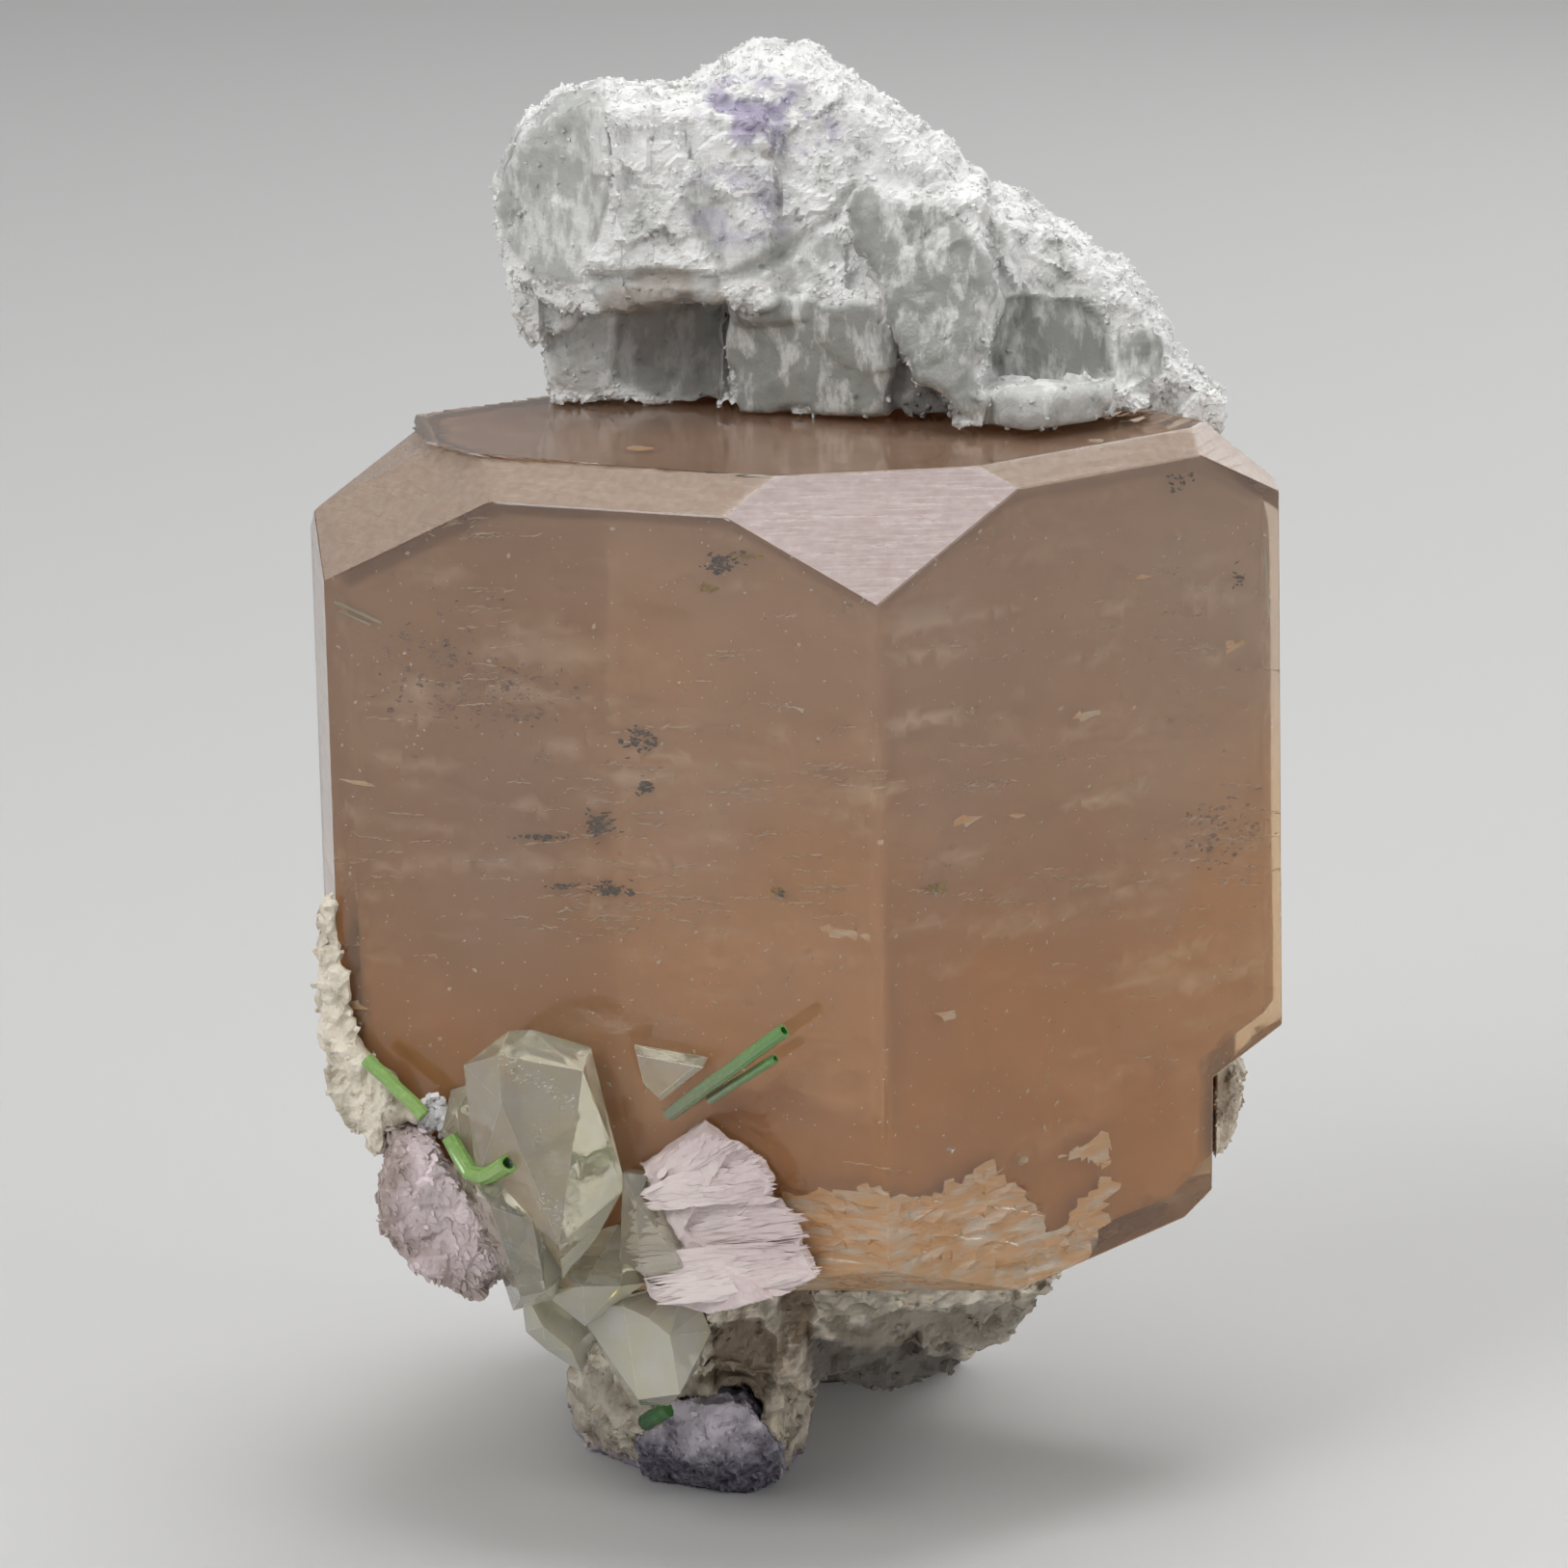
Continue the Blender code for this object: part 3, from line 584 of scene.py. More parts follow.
def filled(shape, across, up, relief, slot_of):
    """A mesh with each flat face of the shape filled with a fine grid and given its relief.

    Edges are shared, so that the mesh is closed. Relief goes inward and is zero on the edges.
    """
    shape.normal_update()
    points = [v.co.copy() for v in shape.verts]
    shape.verts.index_update()
    shape.edges.index_update()
    on_edge = {}
    for edge in shape.edges:
        a, b = sorted(edge.verts, key=lambda v: v.index)
        parts = max(1, math.ceil(edge.calc_length() / across))
        on_edge[edge.index] = [a.index]
        for n in range(1, parts):
            on_edge[edge.index].append(len(points))
            points.append(a.co.lerp(b.co, n / parts))
        on_edge[edge.index].append(b.index)
    faces = []
    slots = []
    for face in shape.faces:
        normal = face.normal.copy()
        u = Vector((0, 0, 1)).cross(normal)
        u = u.normalized() if u.length > 0.1 else Vector((1, 0, 0))
        w = normal.cross(u)
        ring = []
        for loop in face.loops:
            run = on_edge[loop.edge.index]
            ring += run[:-1] if run[0] == loop.vert.index else run[:0:-1]
        rim = np.array([(points[i].dot(u), points[i].dot(w)) for i in ring])
        corners = np.array([(v.co.dot(u), v.co.dot(w)) for v in face.verts])
        inner, clear, triangles = fill_outline(rim, corners, across, up)
        spots = np.outer(inner[:, 0], u) + np.outer(inner[:, 1], w)
        spots += np.array(normal) * points[ring[0]].dot(normal)
        if len(spots):
            depth = relief(spots, np.array(normal), inner) * ramp(clear, 0, 1.5 * across)
            spots = spots - np.outer(depth, normal)
        names = ring + list(range(len(points), len(points) + len(spots)))
        points += [Vector(p) for p in spots]
        faces += [tuple(names[i] for i in triangle) for triangle in triangles]
        slots += [slot_of(normal)] * len(triangles)
    return np.array([tuple(p) for p in points]), faces, np.array(slots)


FRACTURE_TOP = 0.0345

# Below this height the quartz is less clear and less tinted: painted light on the lower crystals in shade
PAINTED_LIGHT_TOP = 0.0235

FLUFF_NUMBER = 150

# Veils of small white flakes in the quartz: line in the picture, number and sizes in millimetres
QUARTZ_VEILS = (
    ("quartz_veil_upper", ((523, 1098), (545, 1118), (572, 1132), (598, 1150)), 60, (0.15, 0.5)),
    ("quartz_veil_lower", ((596, 1360), (618, 1378), (640, 1410), (654, 1448)), 60, (0.2, 0.7)),
    ("quartz_veil_middle", ((556, 1240), (580, 1262), (604, 1300)), 36, (0.15, 0.5)),
)


def on_line(line, share):
    """The point at this share of a line's parts."""
    at = share * (len(line) - 1)
    n = min(int(at), len(line) - 2)
    a, b = np.array(line[n], float), np.array(line[n + 1], float)
    return a + (b - a) * (at - n)


def fracture_share(points):
    """How broken the crystal's lower front is at each point."""
    wander = 3.5 * MM * rough(points, 6 * MM, 4, 40)
    low = 1 - ramp(points[:, 2] + wander, FRACTURE_TOP - 5 * MM, FRACTURE_TOP + 0.5 * MM)
    front = ramp(points[:, 0], 0.002, 0.008) * (1 - ramp(points[:, 0] + wander, 0.027, 0.034))
    return low * np.maximum(front, 0.25 * (points[:, 2] < 0.0245))


def crystal_relief(points, normal, flat):
    """Growth lines on the upright faces, low hillocks on the others and steps where it is broken."""
    lines = np.stack([flat[:, 0] * 0.12, flat[:, 1] * 0, points[:, 2] * 1.0], axis=1)
    fine = 0.5 + 0.5 * waves(lines, 1.1 * MM, 1)
    broad = 0.5 + 0.5 * rough(points, 12 * MM, 2, 3)
    depth = 0.008 * MM * fine + 0.05 * MM * broad
    if abs(normal[2]) > 0.95:
        depth = 0.03 * MM * (0.5 + 0.5 * rough(points, 3 * MM, 4, 9))
    share = fracture_share(points)
    wander = 2.2 * MM * rough(points, 5 * MM, 3, 50)
    level = (points[:, 2] + 0.35 * points[:, 0] + wander) / (1.7 * MM)
    steps = level - np.floor(level)
    return depth + share * (0.42 * MM * steps + 0.12 * MM * (0.5 + 0.5 * rough(points, 1.2 * MM, 3, 60)))


def crystal_slot(normal):
    polar = math.degrees(math.acos(max(-1, min(1, normal.z))))
    if 40 < polar < 50 and normal.y < -0.5:
        return 1
    if 12 < polar < 60:
        return 2
    if polar > 110:
        return 3
    return 0


def bevelled(node, offset):
    """A node's solid with its edges taken off narrowly."""
    shape = merged(node)
    bmesh.ops.bevel(
        shape,
        geom=list(shape.edges),
        offset=offset,
        segments=1,
        profile=0.5,
        affect="EDGES",
        clamp_overlap=True,
        material=1,
    )
    return shape


def height_of(points):
    """0 in the crystal's orange lower half and 1 in its paler upper half."""
    return ramp((points[:, 2] - COLOUR_LOW) / (COLOUR_HIGH - COLOUR_LOW) + 0.3 * rough(points, 20 * MM, 3, 77), 0, 1)


def build_crystal():
    shape = bevelled("morganite_crystal", 0.10 * MM)
    points, faces, slots = filled(shape, 1.1 * MM, 0.38 * MM, crystal_relief, crystal_slot)
    shape.free()
    middles = points[np.array([face[:3] for face in faces])].mean(axis=1)
    bands = rough(middles * (0.4, 0.4, 1.5) + (0, 0, 0.2) * middles[:, :1], 2.4 * MM, 3, 88)
    slots[(slots == 0) & (fracture_share(middles) > 0.42 + 0.4 * bands)] = 3
    cloudy = 0.35 * ramp(rough(points, 9 * MM, 4, 78), 0.0, 0.9)
    made = new_object("morganite", points, faces, slots=slots, sharp=18, height=height_of(points), cloudy=cloudy)
    settle(made, "morganite", [BERYL, BERYL_FROSTED, BERYL_SATIN, BERYL_BROKEN], "morganite_crystal")


def build_quartz():
    """Clear crystals with pale edges. The lowest ones are less clear and less tinted, as painted light where they lie
    in shade.
    """
    for node, piece in (("quartz_cluster", "quartz"), ("quartz_shard", "shard")):
        shape = bevelled(node, 0.16 * MM)
        bmesh.ops.triangulate(shape, faces=[f for f in shape.faces if len(f.verts) > 4])
        for face in shape.faces:
            # Painted light on the lowest faces, which lie in shade
            if face.material_index == 0 and face.calc_center_median().z < PAINTED_LIGHT_TOP:
                face.material_index = 2
        mesh = bpy.data.meshes.new(piece)
        shape.to_mesh(mesh)
        shape.free()
        made = bpy.data.objects.new(piece, mesh)
        bpy.context.scene.collection.objects.link(made)
        settle(made, "quartz", [QUARTZ, QUARTZ_EDGE, QUARTZ_PAINTED_LIGHT], node)
    for name, line, number, sizes in QUARTZ_VEILS:
        veil = Grains()
        for _ in range(number):
            spot_ = on_line(line, rng.random()) + rng.normal(0, 5, 2)
            front, normal = hit("quartz_cluster", *spot_)
            if front is None:
                continue
            middle = front - normal * rng.uniform(0.4, 1.2) * MM
            size = rng.uniform(*sizes) * MM
            veil.plate(middle, normal + Vector(rng.normal(0, 0.3, 3)), (1, 0, 0.4), size, size * 0.5, 0.04 * MM, 6,
                       rng.random(), 0.5)
        settle(veil.object(name), "quartz", [WHITE_FLAKE])


# Rock


def remeshed(node, voxel, smoothing):
    """Points, quads and normals of a node's solid with an even fine mesh and its corners eased."""
    shape = merged(node)
    mesh = bpy.data.meshes.new("even")
    shape.to_mesh(mesh)
    shape.free()
    made = bpy.data.objects.new("even", mesh)
    bpy.context.scene.collection.objects.link(made)
    even = made.modifiers.new("even", "REMESH")
    even.mode = "VOXEL"
    even.voxel_size = voxel
    ease = made.modifiers.new("ease", "SMOOTH")
    ease.factor = 0.5
    ease.iterations = smoothing
    bpy.context.view_layer.update()
    result = bpy.data.meshes.new_from_object(made.evaluated_get(bpy.context.evaluated_depsgraph_get()))
    points = np.empty(len(result.vertices) * 3, np.float32)
    result.vertices.foreach_get("co", points)
    normals = np.empty(len(result.vertices) * 3, np.float32)
    result.vertex_normals.foreach_get("vector", normals)
    faces = [tuple(p.vertices) for p in result.polygons]
    bpy.data.objects.remove(made, do_unlink=True)
    bpy.data.meshes.remove(result)
    bpy.data.meshes.remove(mesh)
    return points.reshape(-1, 3).astype(float), faces, normals.reshape(-1, 3).astype(float)


def crystal_planes():
    """Points and normals of the crystal's outer faces."""
    shape = merged("morganite_crystal")
    corners = np.array([tuple(v.co) for v in shape.verts])
    found = []
    for face in shape.faces:
        n = np.array(face.normal)
        level = np.array(face.verts[0].co) @ n
        if (corners @ n < level + 1e-5).all():
            found.append((n, level))
    shape.free()
    return found


PLANES = crystal_planes()


def clear_of_crystal(points):
    """Distance outside the crystal's faces."""
    return np.max([points @ n - level for n, level in PLANES], axis=0)


def sculpted(points, normals, depth):
    """The points moved along their normals, and kept off the crystal."""
    room = clear_of_crystal(points)
    out = np.minimum(depth, np.maximum(room - 0.1 * MM, -0.2 * MM))
    return keep_in(points + normals * out[:, None])


TONES = ("smooth", "violet", "brown", "dark")


def rock_piece(name, made_of, node, points, faces, normals, depth, masks, grain_plan):
    """A rough rock with small crystals grown on its sugary places."""
    placed = sculpted(points, normals, depth)
    number, size_mm = grain_plan
    chance = np.clip(1 - masks["smooth"], 0, 1) ** 2 + 0.002
    picked = rng.choice(len(points), number, p=chance / chance.sum())
    grains = Grains()
    for i in picked:
        size = rng.uniform(*size_mm) * MM
        grains.lump(placed[i] + normals[i] * size * 0.1, size)
    corner, blocks_made, _ = grains.arrays()
    count = len(placed)
    rounded = masks["smooth"][[face[0] for face in faces]] > 0.3
    hosts = np.concatenate([np.arange(count), np.repeat(picked, len(corner) // number)])
    tones = {key: np.clip(masks[key], 0, 1)[hosts] for key in TONES}
    made = new_object(
        name,
        keep_in(np.vstack([placed, corner])),
        faces + [tuple(i + count for i in face) for face in blocks_made],
        rounded=np.concatenate([rounded, np.zeros(len(blocks_made), bool)]),
        **tones,
    )
    settle(made, "albite", [made_of], node)


# Faces, hollows and recesses of the cap: each outline in the picture with its lift in millimetres, how smooth
# it is and how much painted shade it gets, which darkens its hollows, recesses, overhangs and cracks
CAP_FACES = {
    "left_face": (((540, 140), (580, 96), (622, 90), (628, 150), (618, 230), (604, 290), (556, 288), (526, 240),
                   (522, 180)), 0.3, 0.62, 0.05),
    "blade": (((888, 196), (960, 205), (1015, 250), (1030, 310), (1020, 370), (1010, 432), (984, 413), (953, 383),
               (928, 350), (915, 312), (898, 257)), 1.0, 0.85, 0.14),
    "hollow": (((1038, 318), (1075, 305), (1120, 315), (1155, 345), (1158, 385), (1100, 397), (1040, 400),
                (1028, 360)), -0.9, 0.85, 0.28),
    "plate": (((1008, 408), (1060, 397), (1120, 396), (1157, 402), (1150, 430), (1100, 447), (1060, 449),
               (1020, 440)), 0.7, 0.5, 0.0),
    "overhang": (((612, 282), (686, 277), (745, 284), (752, 312), (690, 330), (620, 325)), 0.0, 0.4, 0.30),
    "recess": (((640, 325), (752, 310), (750, 380), (738, 420), (690, 415), (640, 395)), -0.4, 0.6, 0.38),
    "middle_block": (((757, 318), (830, 302), (905, 320), (922, 355), (920, 430), (840, 425), (765, 425),
                      (752, 370)), 0.5, 0.85, 0.08),
    "middle_gap": (((705, 200), (740, 185), (770, 240), (850, 240), (880, 262), (820, 292), (745, 282)), 0.0, 0.5, 0.12),
    "low_left": (((572, 345), (592, 320), (628, 330), (640, 400), (615, 408), (580, 395)), 0.4, 0.45, 0.0),
    "corner_gap": (((925, 362), (952, 388), (1004, 432), (925, 432)), -0.4, 0.4, 0.70),
    "bud": (((1165, 348), (1190, 342), (1210, 358), (1208, 386), (1190, 398), (1167, 392)), 0.4, 0.8, 0.08),
}
CAP_CREASES = (
    (((709, 131), (722, 181), (722, 232), (737, 272)), 10, 0.6),
    (((616, 290), (686, 286), (752, 292), (802, 270), (863, 226), (886, 196)), 12, 0.9),
    (((1060, 250), (1062, 320), (1034, 380), (1016, 400)), 8, 0.6),
    (((752, 316), (745, 360), (752, 420)), 9, 0.9),
    (((1162, 345), (1165, 400)), 6, 0.6),
    (((628, 100), (634, 181), (615, 252)), 6, 0.5),
)


def build_cap():
    points, faces, normals = remeshed("albite_cap", 0.36 * MM, 5)
    places = to_pixels(points)
    wander = np.stack([rough(points, 3 * MM, 3, seed) for seed in (51, 55)], axis=1) * 7
    smooth, dark, lift = np.zeros((3, len(points)))
    for outline, rise, smoothness, shadow in CAP_FACES.values():
        share = within(places + wander, outline)
        smooth = np.maximum(smooth, smoothness * share)
        # Painted shade in the cap's hollows, recesses, overhangs and cracks
        dark = np.maximum(dark, shadow * share)
        lift += rise * MM * share
    violet = np.maximum(spot(places, 786, 118, 80, 52), 0.8 * spot(places, 842, 138, 40, 30))
    violet = np.maximum(violet, 0.5 * spot(places, 760, 215, 80, 60))
    violet *= ramp(rough(points, 1.6 * MM, 4, 8), -0.3, 0.3) * 0.8
    brown = np.maximum(0.9 * spot(places, 778, 161, 26, 11), 0.5 * within(places, CAP_FACES["overhang"][0]))
    brown *= ramp(rough(points, 2.5 * MM, 4, 9), -0.6, 0.2)
    sugar = 1 - smooth
    depth = lift + 0.55 * MM * blocks(points, 5.5 * MM, 1) * (0.5 + 0.5 * sugar)
    depth += 0.38 * MM * blocks(points, 2.2 * MM, 2) * (0.3 + 0.7 * sugar)
    near, _, _, _ = cells(points, 0.9 * MM, 3)
    depth += sugar * (0.16 * MM * (0.55 - near) + 0.22 * MM * rough(points, 1.6 * MM, 3, 4))
    depth += smooth * 0.05 * MM * rough(points * (1, 1, 0.2), 1.1 * MM, 2, 7)
    for line, width, deep in CAP_CREASES:
        depth -= deep * MM * along(places, line, width)
    depth -= 0.7 * MM * spot(places, 778, 161, 24, 11)
    masks = {"smooth": smooth, "violet": violet, "brown": brown, "dark": dark}
    rock_piece("albite_crown", ALBITE, "albite_cap", points, faces, normals, depth, masks, (5200, (0.14, 0.42)))


# Pockets and shaded places of the matrix: outline in the picture, lift, brown and painted shade
MATRIX_FACES = {
    "smooth_hollow": (((815, 1345), (842, 1340), (848, 1370), (838, 1388), (818, 1380)), -1.0, 0.85, 0.1),
    "brown_pocket": (((736, 1372), (790, 1365), (804, 1400), (800, 1450), (784, 1492), (752, 1470), (738, 1430)),
                     -1.1, 0.8, 0.35),
    "right_foot": (((798, 1378), (846, 1395), (848, 1430), (834, 1456), (828, 1512), (780, 1518), (778, 1470),
                    (802, 1440)), 0.3, 0.42, 0.0),
    "under_lobe": (((836, 1384), (900, 1394), (960, 1400), (1010, 1408), (985, 1440), (950, 1456), (900, 1446),
                    (846, 1450)), -0.3, 0.15, 0.91),
    "lobe": (((860, 1372), (930, 1362), (1040, 1350), (1090, 1340), (1060, 1372), (1000, 1400), (940, 1446),
              (900, 1420)), 0.0, 0.2, 0.60),
    "cavity": (((922, 1390), (950, 1386), (952, 1404), (930, 1414)), -0.9, 0.9, 0.4),
    "far_cavity": (((1004, 1368), (1040, 1356), (1034, 1372), (1008, 1378)), -0.6, 0.8, 0.3),
    "left_foot": (((588, 1450), (604, 1412), (640, 1440), (690, 1470), (688, 1520), (612, 1502)), 0.0, 0.2, 0.20),
}


def build_matrix():
    points, faces, normals = remeshed("albite_matrix", 0.50 * MM, 4)
    places = to_pixels(points)
    wander = np.stack([rough(points, 3 * MM, 3, seed) for seed in (61, 65)], axis=1) * 8
    near, second, _, _ = cells(points, 2.0 * MM, 13)
    brown, dark, depth = np.zeros((3, len(points)))
    for outline, rise, tint, shadow in MATRIX_FACES.values():
        share = within(places + wander, outline)
        brown = np.maximum(brown, tint * share)
        # Painted shade in the pockets, cavities and under the lobe
        dark = np.maximum(dark, shadow * share)
        depth += rise * MM * share
    brown = np.maximum(brown, 0.35 * ramp(rough(points, 4 * MM, 3, 15), 0.1, 0.6) * (places[:, 0] > 700))
    # Painted shade in the cracks between the blocks of the right part
    dark = np.maximum(dark, 0.55 * (1 - ramp(second - near, 0.02, 0.22)) * (places[:, 0] > 700))
    depth += 0.55 * MM * blocks(points, 5 * MM, 11) + 0.45 * MM * blocks(points, 2.2 * MM, 12)
    depth += 0.7 * MM * (0.5 - near) + 0.3 * MM * rough(points, 1.8 * MM, 3, 14)
    depth *= ramp(points[:, 2], 0.0, 1.2 * MM)
    low = 1 - ramp(points[:, 2] + 1.2 * MM * rough(points, 3 * MM, 3, 16), 0.3 * MM, 2.5 * MM)
    smooth = 0.5 * ramp(rough(points, 5 * MM, 2, 17), 0.2, 0.6)
    masks = {"smooth": smooth, "violet": 0.8 * low, "brown": brown, "dark": dark}
    rock_piece("matrix", MATRIX_ROCK, "albite_matrix", points, faces, normals, depth, masks, (4200, (0.16, 0.50)))


def build_patch():
    points, faces, normals = remeshed("albite_patch", 0.30 * MM, 14)
    depth = 0.7 * MM * blocks(points, 2.4 * MM, 21) + 0.5 * MM * rough(points, 2.4 * MM, 4, 22) - 0.7 * MM
    depth *= ramp(normals[:, 0], -0.6, 0.1)
    zero = np.zeros(len(points))
    brown = 0.5 * ramp(rough(points, 3 * MM, 3, 23), -0.2, 0.4)
    masks = {"smooth": zero, "violet": zero, "brown": brown, "dark": zero}
    rock_piece("albite_corner", MATRIX_ROCK, "albite_patch", points, faces, normals, depth, masks, (260, (0.15, 0.4)))


def build_fluff():
    """White grains between the left needle and the lilac mass."""
    grains = Grains()
    while len(grains.points) < FLUFF_NUMBER:
        place, normal = hit("morganite_crystal", rng.normal(450, 10), rng.normal(1157, 9))
        size = rng.uniform(0.25, 0.7) * MM
        grains.lump(place + normal * rng.uniform(0.1, 0.8) * MM, size, rng.uniform(0.3, 1.0))
    settle(grains.object("white_fluff"), "albite", [WHITE_FLAKE])


# Lepidolite


def plates_on(points, normals, number, facing, size_mm, shade, slope=0.3):
    """Thin plates scattered on a surface, roughly facing one way."""
    made = Grains()
    shades = shade(points)
    for i in rng.choice(len(points), number):
        normal = np.array(facing) * 0.5 + normals[i] + rng.normal(0, slope, 3)
        size = rng.uniform(*size_mm) * MM
        made.plate(
            points[i] + normals[i] * 0.06 * MM,
            normal,
            (0.6, 0.0, -0.8) + rng.normal(0, 0.35, 3),
            size,
            size * rng.uniform(0.3, 0.6),
            rng.uniform(0.06, 0.14) * MM,
            6,
            float(np.clip(shades[i] + rng.uniform(-0.15, 0.15), 0, 1)),
        )
    return made.arrays()


def scaly_piece(name, node, made_of, voxel, seed, number, facing, size_mm, shade):
    points, faces, normals = remeshed(node, voxel, 3)
    depth = 0.5 * MM * blocks(points, 2.5 * MM, seed) + 0.3 * MM * rough(points, 1.5 * MM, 3, seed + 1)
    depth *= ramp(points[:, 2], 0.0, 1.0 * MM)
    placed = sculpted(points, normals, depth)
    flakes, flake_faces, flake_shades = plates_on(placed, normals, number, facing, size_mm, shade)
    count = len(placed)
    total = keep_in(np.vstack([placed, flakes]))
    shades = np.concatenate([shade(placed), flake_shades])
    faces = faces + [tuple(i + count for i in face) for face in flake_faces]
    made = new_object(name, total, faces, rounded=False, shade=np.clip(shades, 0, 1))
    return settle(made, "lepidolite", [made_of], node)


def left_shade(points):
    """Dark at the far left and lowest edges, lilac with pale patches elsewhere."""
    places = to_pixels(points)
    edge = ramp(places[:, 0] + 14 * rough(points, 2 * MM, 2, 37), 398, 440) * (0.55 + 0.45 * (places[:, 1] < 1322))
    return edge * (0.62 + 0.5 * rough(points, 3 * MM, 3, 31))


def foot_shade(points):
    height = points[:, 2] + 1.6 * MM * rough(points, 2 * MM, 3, 34)
    return ramp(height, 3.4 * MM, 7.4 * MM) * (0.72 + 0.5 * rough(points, 1.5 * MM, 2, 33))


# Root and tip of the fan's rays, in the picture, from its upper edge to its lower one
FAN_RAYS = (
    ((690, 1212), (716, 1178)), ((692, 1218), (747, 1176)), ((694, 1226), (785, 1190)), ((698, 1236), (808, 1226)),
    ((700, 1250), (802, 1240)), ((705, 1262), (814, 1250)), ((700, 1280), (840, 1261)), ((700, 1300), (842, 1291)),
    ((712, 1325), (844, 1309)), ((722, 1345), (858, 1318)), ((722, 1348), (820, 1340)),
)


def build_fan():
    """A mass of long narrow blades whose tips make its ragged outline."""
    points, faces, normals = remeshed("lepidolite_fan", 0.22 * MM, 3)
    placed = sculpted(points, normals, 0.12 * MM * rough(points, 1.0 * MM, 3, 35) - 0.14 * MM)
    blades = Grains()
    for _ in range(1100):
        share = rng.random()
        start = on_line([ray[0] for ray in FAN_RAYS], share)
        end = on_line([ray[1] for ray in FAN_RAYS], share)
        near, normal = hit("lepidolite_fan", *(start + (end - start) * 0.25))
        far, _ = hit("lepidolite_fan", *(start + (end - start) * 0.8))
        if near is None or far is None:
            continue
        run = (far - near) / 0.55
        begin = rng.uniform(-0.35, 0.65)
        reach = min(begin + rng.uniform(0.3, 0.6), rng.uniform(0.94, 1.03))
        middle = near + run * ((begin + reach) / 2 - 0.25)
        middle = np.array(middle) + np.array(normal) * rng.uniform(-0.12, 0.06) * MM
        axis = run.normalized()
        facing = np.array(normal - axis * normal.dot(axis)) + rng.normal(0, 0.04, 3)
        white = 0.3 * ramp(0.35 - begin, 0, 0.3) + 0.25 * ramp(share, 0.7, 0.95)
        shade = float(np.clip(rng.uniform(0.35, 0.65) + white, 0, 1))
        width = rng.uniform(0.25, 0.8) * MM
        blades.plate(middle, facing, run, run.length * (reach - begin), width, 0.05 * MM, 6, shade, 0.12)
    corner, blade_faces, shades = blades.arrays()
    count = len(placed)
    base = 0.6 + 0.3 * rough(placed, 1.2 * MM, 3, 36)
    faces = faces + [tuple(i + count for i in face) for face in blade_faces]
    shades = np.clip(np.concatenate([base, shades]), 0, 1)
    made = new_object("lepidolite_rays", keep_in(np.vstack([placed, corner])), faces, rounded=False, shade=shades)
    settle(made, "lepidolite", [LEPIDOLITE_FAN], "lepidolite_fan")


# Tourmaline


def prism(path, radius, ridges=9, hollow=0.0, sides=36, end_scale=1.0):
    """A striated prism along a path, with a hollow in its far end if wanted."""
    path = [Vector(p) for p in path]
    angles = 2 * np.pi * np.arange(sides) / sides
    profile = radius * (0.90 + 0.05 * np.cos(3 * angles) + 0.05 * np.cos(ridges * angles + 1.0))
    rings = []
    values = []
    length = sum((b - a).length for a, b in zip(path, path[1:]))
    gone = 0.0
    previous = None
    for n, place in enumerate(path):
        before = path[max(0, n - 1)]
        after = path[min(len(path) - 1, n + 1)]
        direction = (after - before).normalized()
        if previous is None:
            side = direction.orthogonal().normalized()
        else:
            side = (previous - direction * previous.dot(direction)).normalized()
        previous = side
        other = direction.cross(side)
        if n:
            gone += (place - path[n - 1]).length
        part = gone / length
        scale = 1 + (end_scale - 1) * part
        ring = [place + (side * math.cos(t) + other * math.sin(t)) * (r * scale) for t, r in zip(angles, profile)]
        rings.append(ring)
        values.append(part)
    tip = (path[-1] - path[-2]).normalized()
    if hollow:
        for scale, back in ((0.62, 0.0), (0.55, 0.6 * radius), (0.35, hollow)):
            rings.append([path[-1] + (p - path[-1]) * scale - tip * back for p in rings[len(path) - 1]])
            values.append(1.0)
    points = [p for ring in rings for p in ring]
    shades = [v for v in values for _ in range(sides)]
    faces = []
    for n in range(len(rings) - 1):
        for i in range(sides):
            j = (i + 1) % sides
            a, b = n * sides, (n + 1) * sides
            faces.append((a + i, a + j, b + j, b + i))
    faces.append(tuple(reversed(range(sides))))
    faces.append(tuple(range((len(rings) - 1) * sides, len(rings) * sides)))
    bands = (len(rings) - 1) * sides
    slots = [int(hollow > 0 and f // sides >= len(path)) for f in range(bands)] + [0, int(hollow > 0)]
    return points, faces, shades, slots


def needle(name, node, start, end, radius, material_, hollow=0.0, end_scale=1.0):
    start, end = Vector(start), Vector(end)
    axis = (end - start).normalized()
    path = [start.lerp(end, t) for t in np.linspace(0, 1, 12)]
    path = [p + axis.orthogonal() * radius * 0.04 * math.sin(5 * t) for t, p in enumerate(path)]
    points, faces, shades, slots = prism(path, radius, hollow=hollow, end_scale=end_scale)
    made = new_object(name, keep_in(np.array([tuple(p) for p in points])), faces, slots=slots, sharp=35, shade=shades)
    settle(made, "tourmaline", [material_, TOURMALINE_DARK], node)


# Where the bent green piece crosses the front of the quartz
ELBOW_PLACES = ((503, 1220), (512, 1216), (521, 1210), (527, 1206))


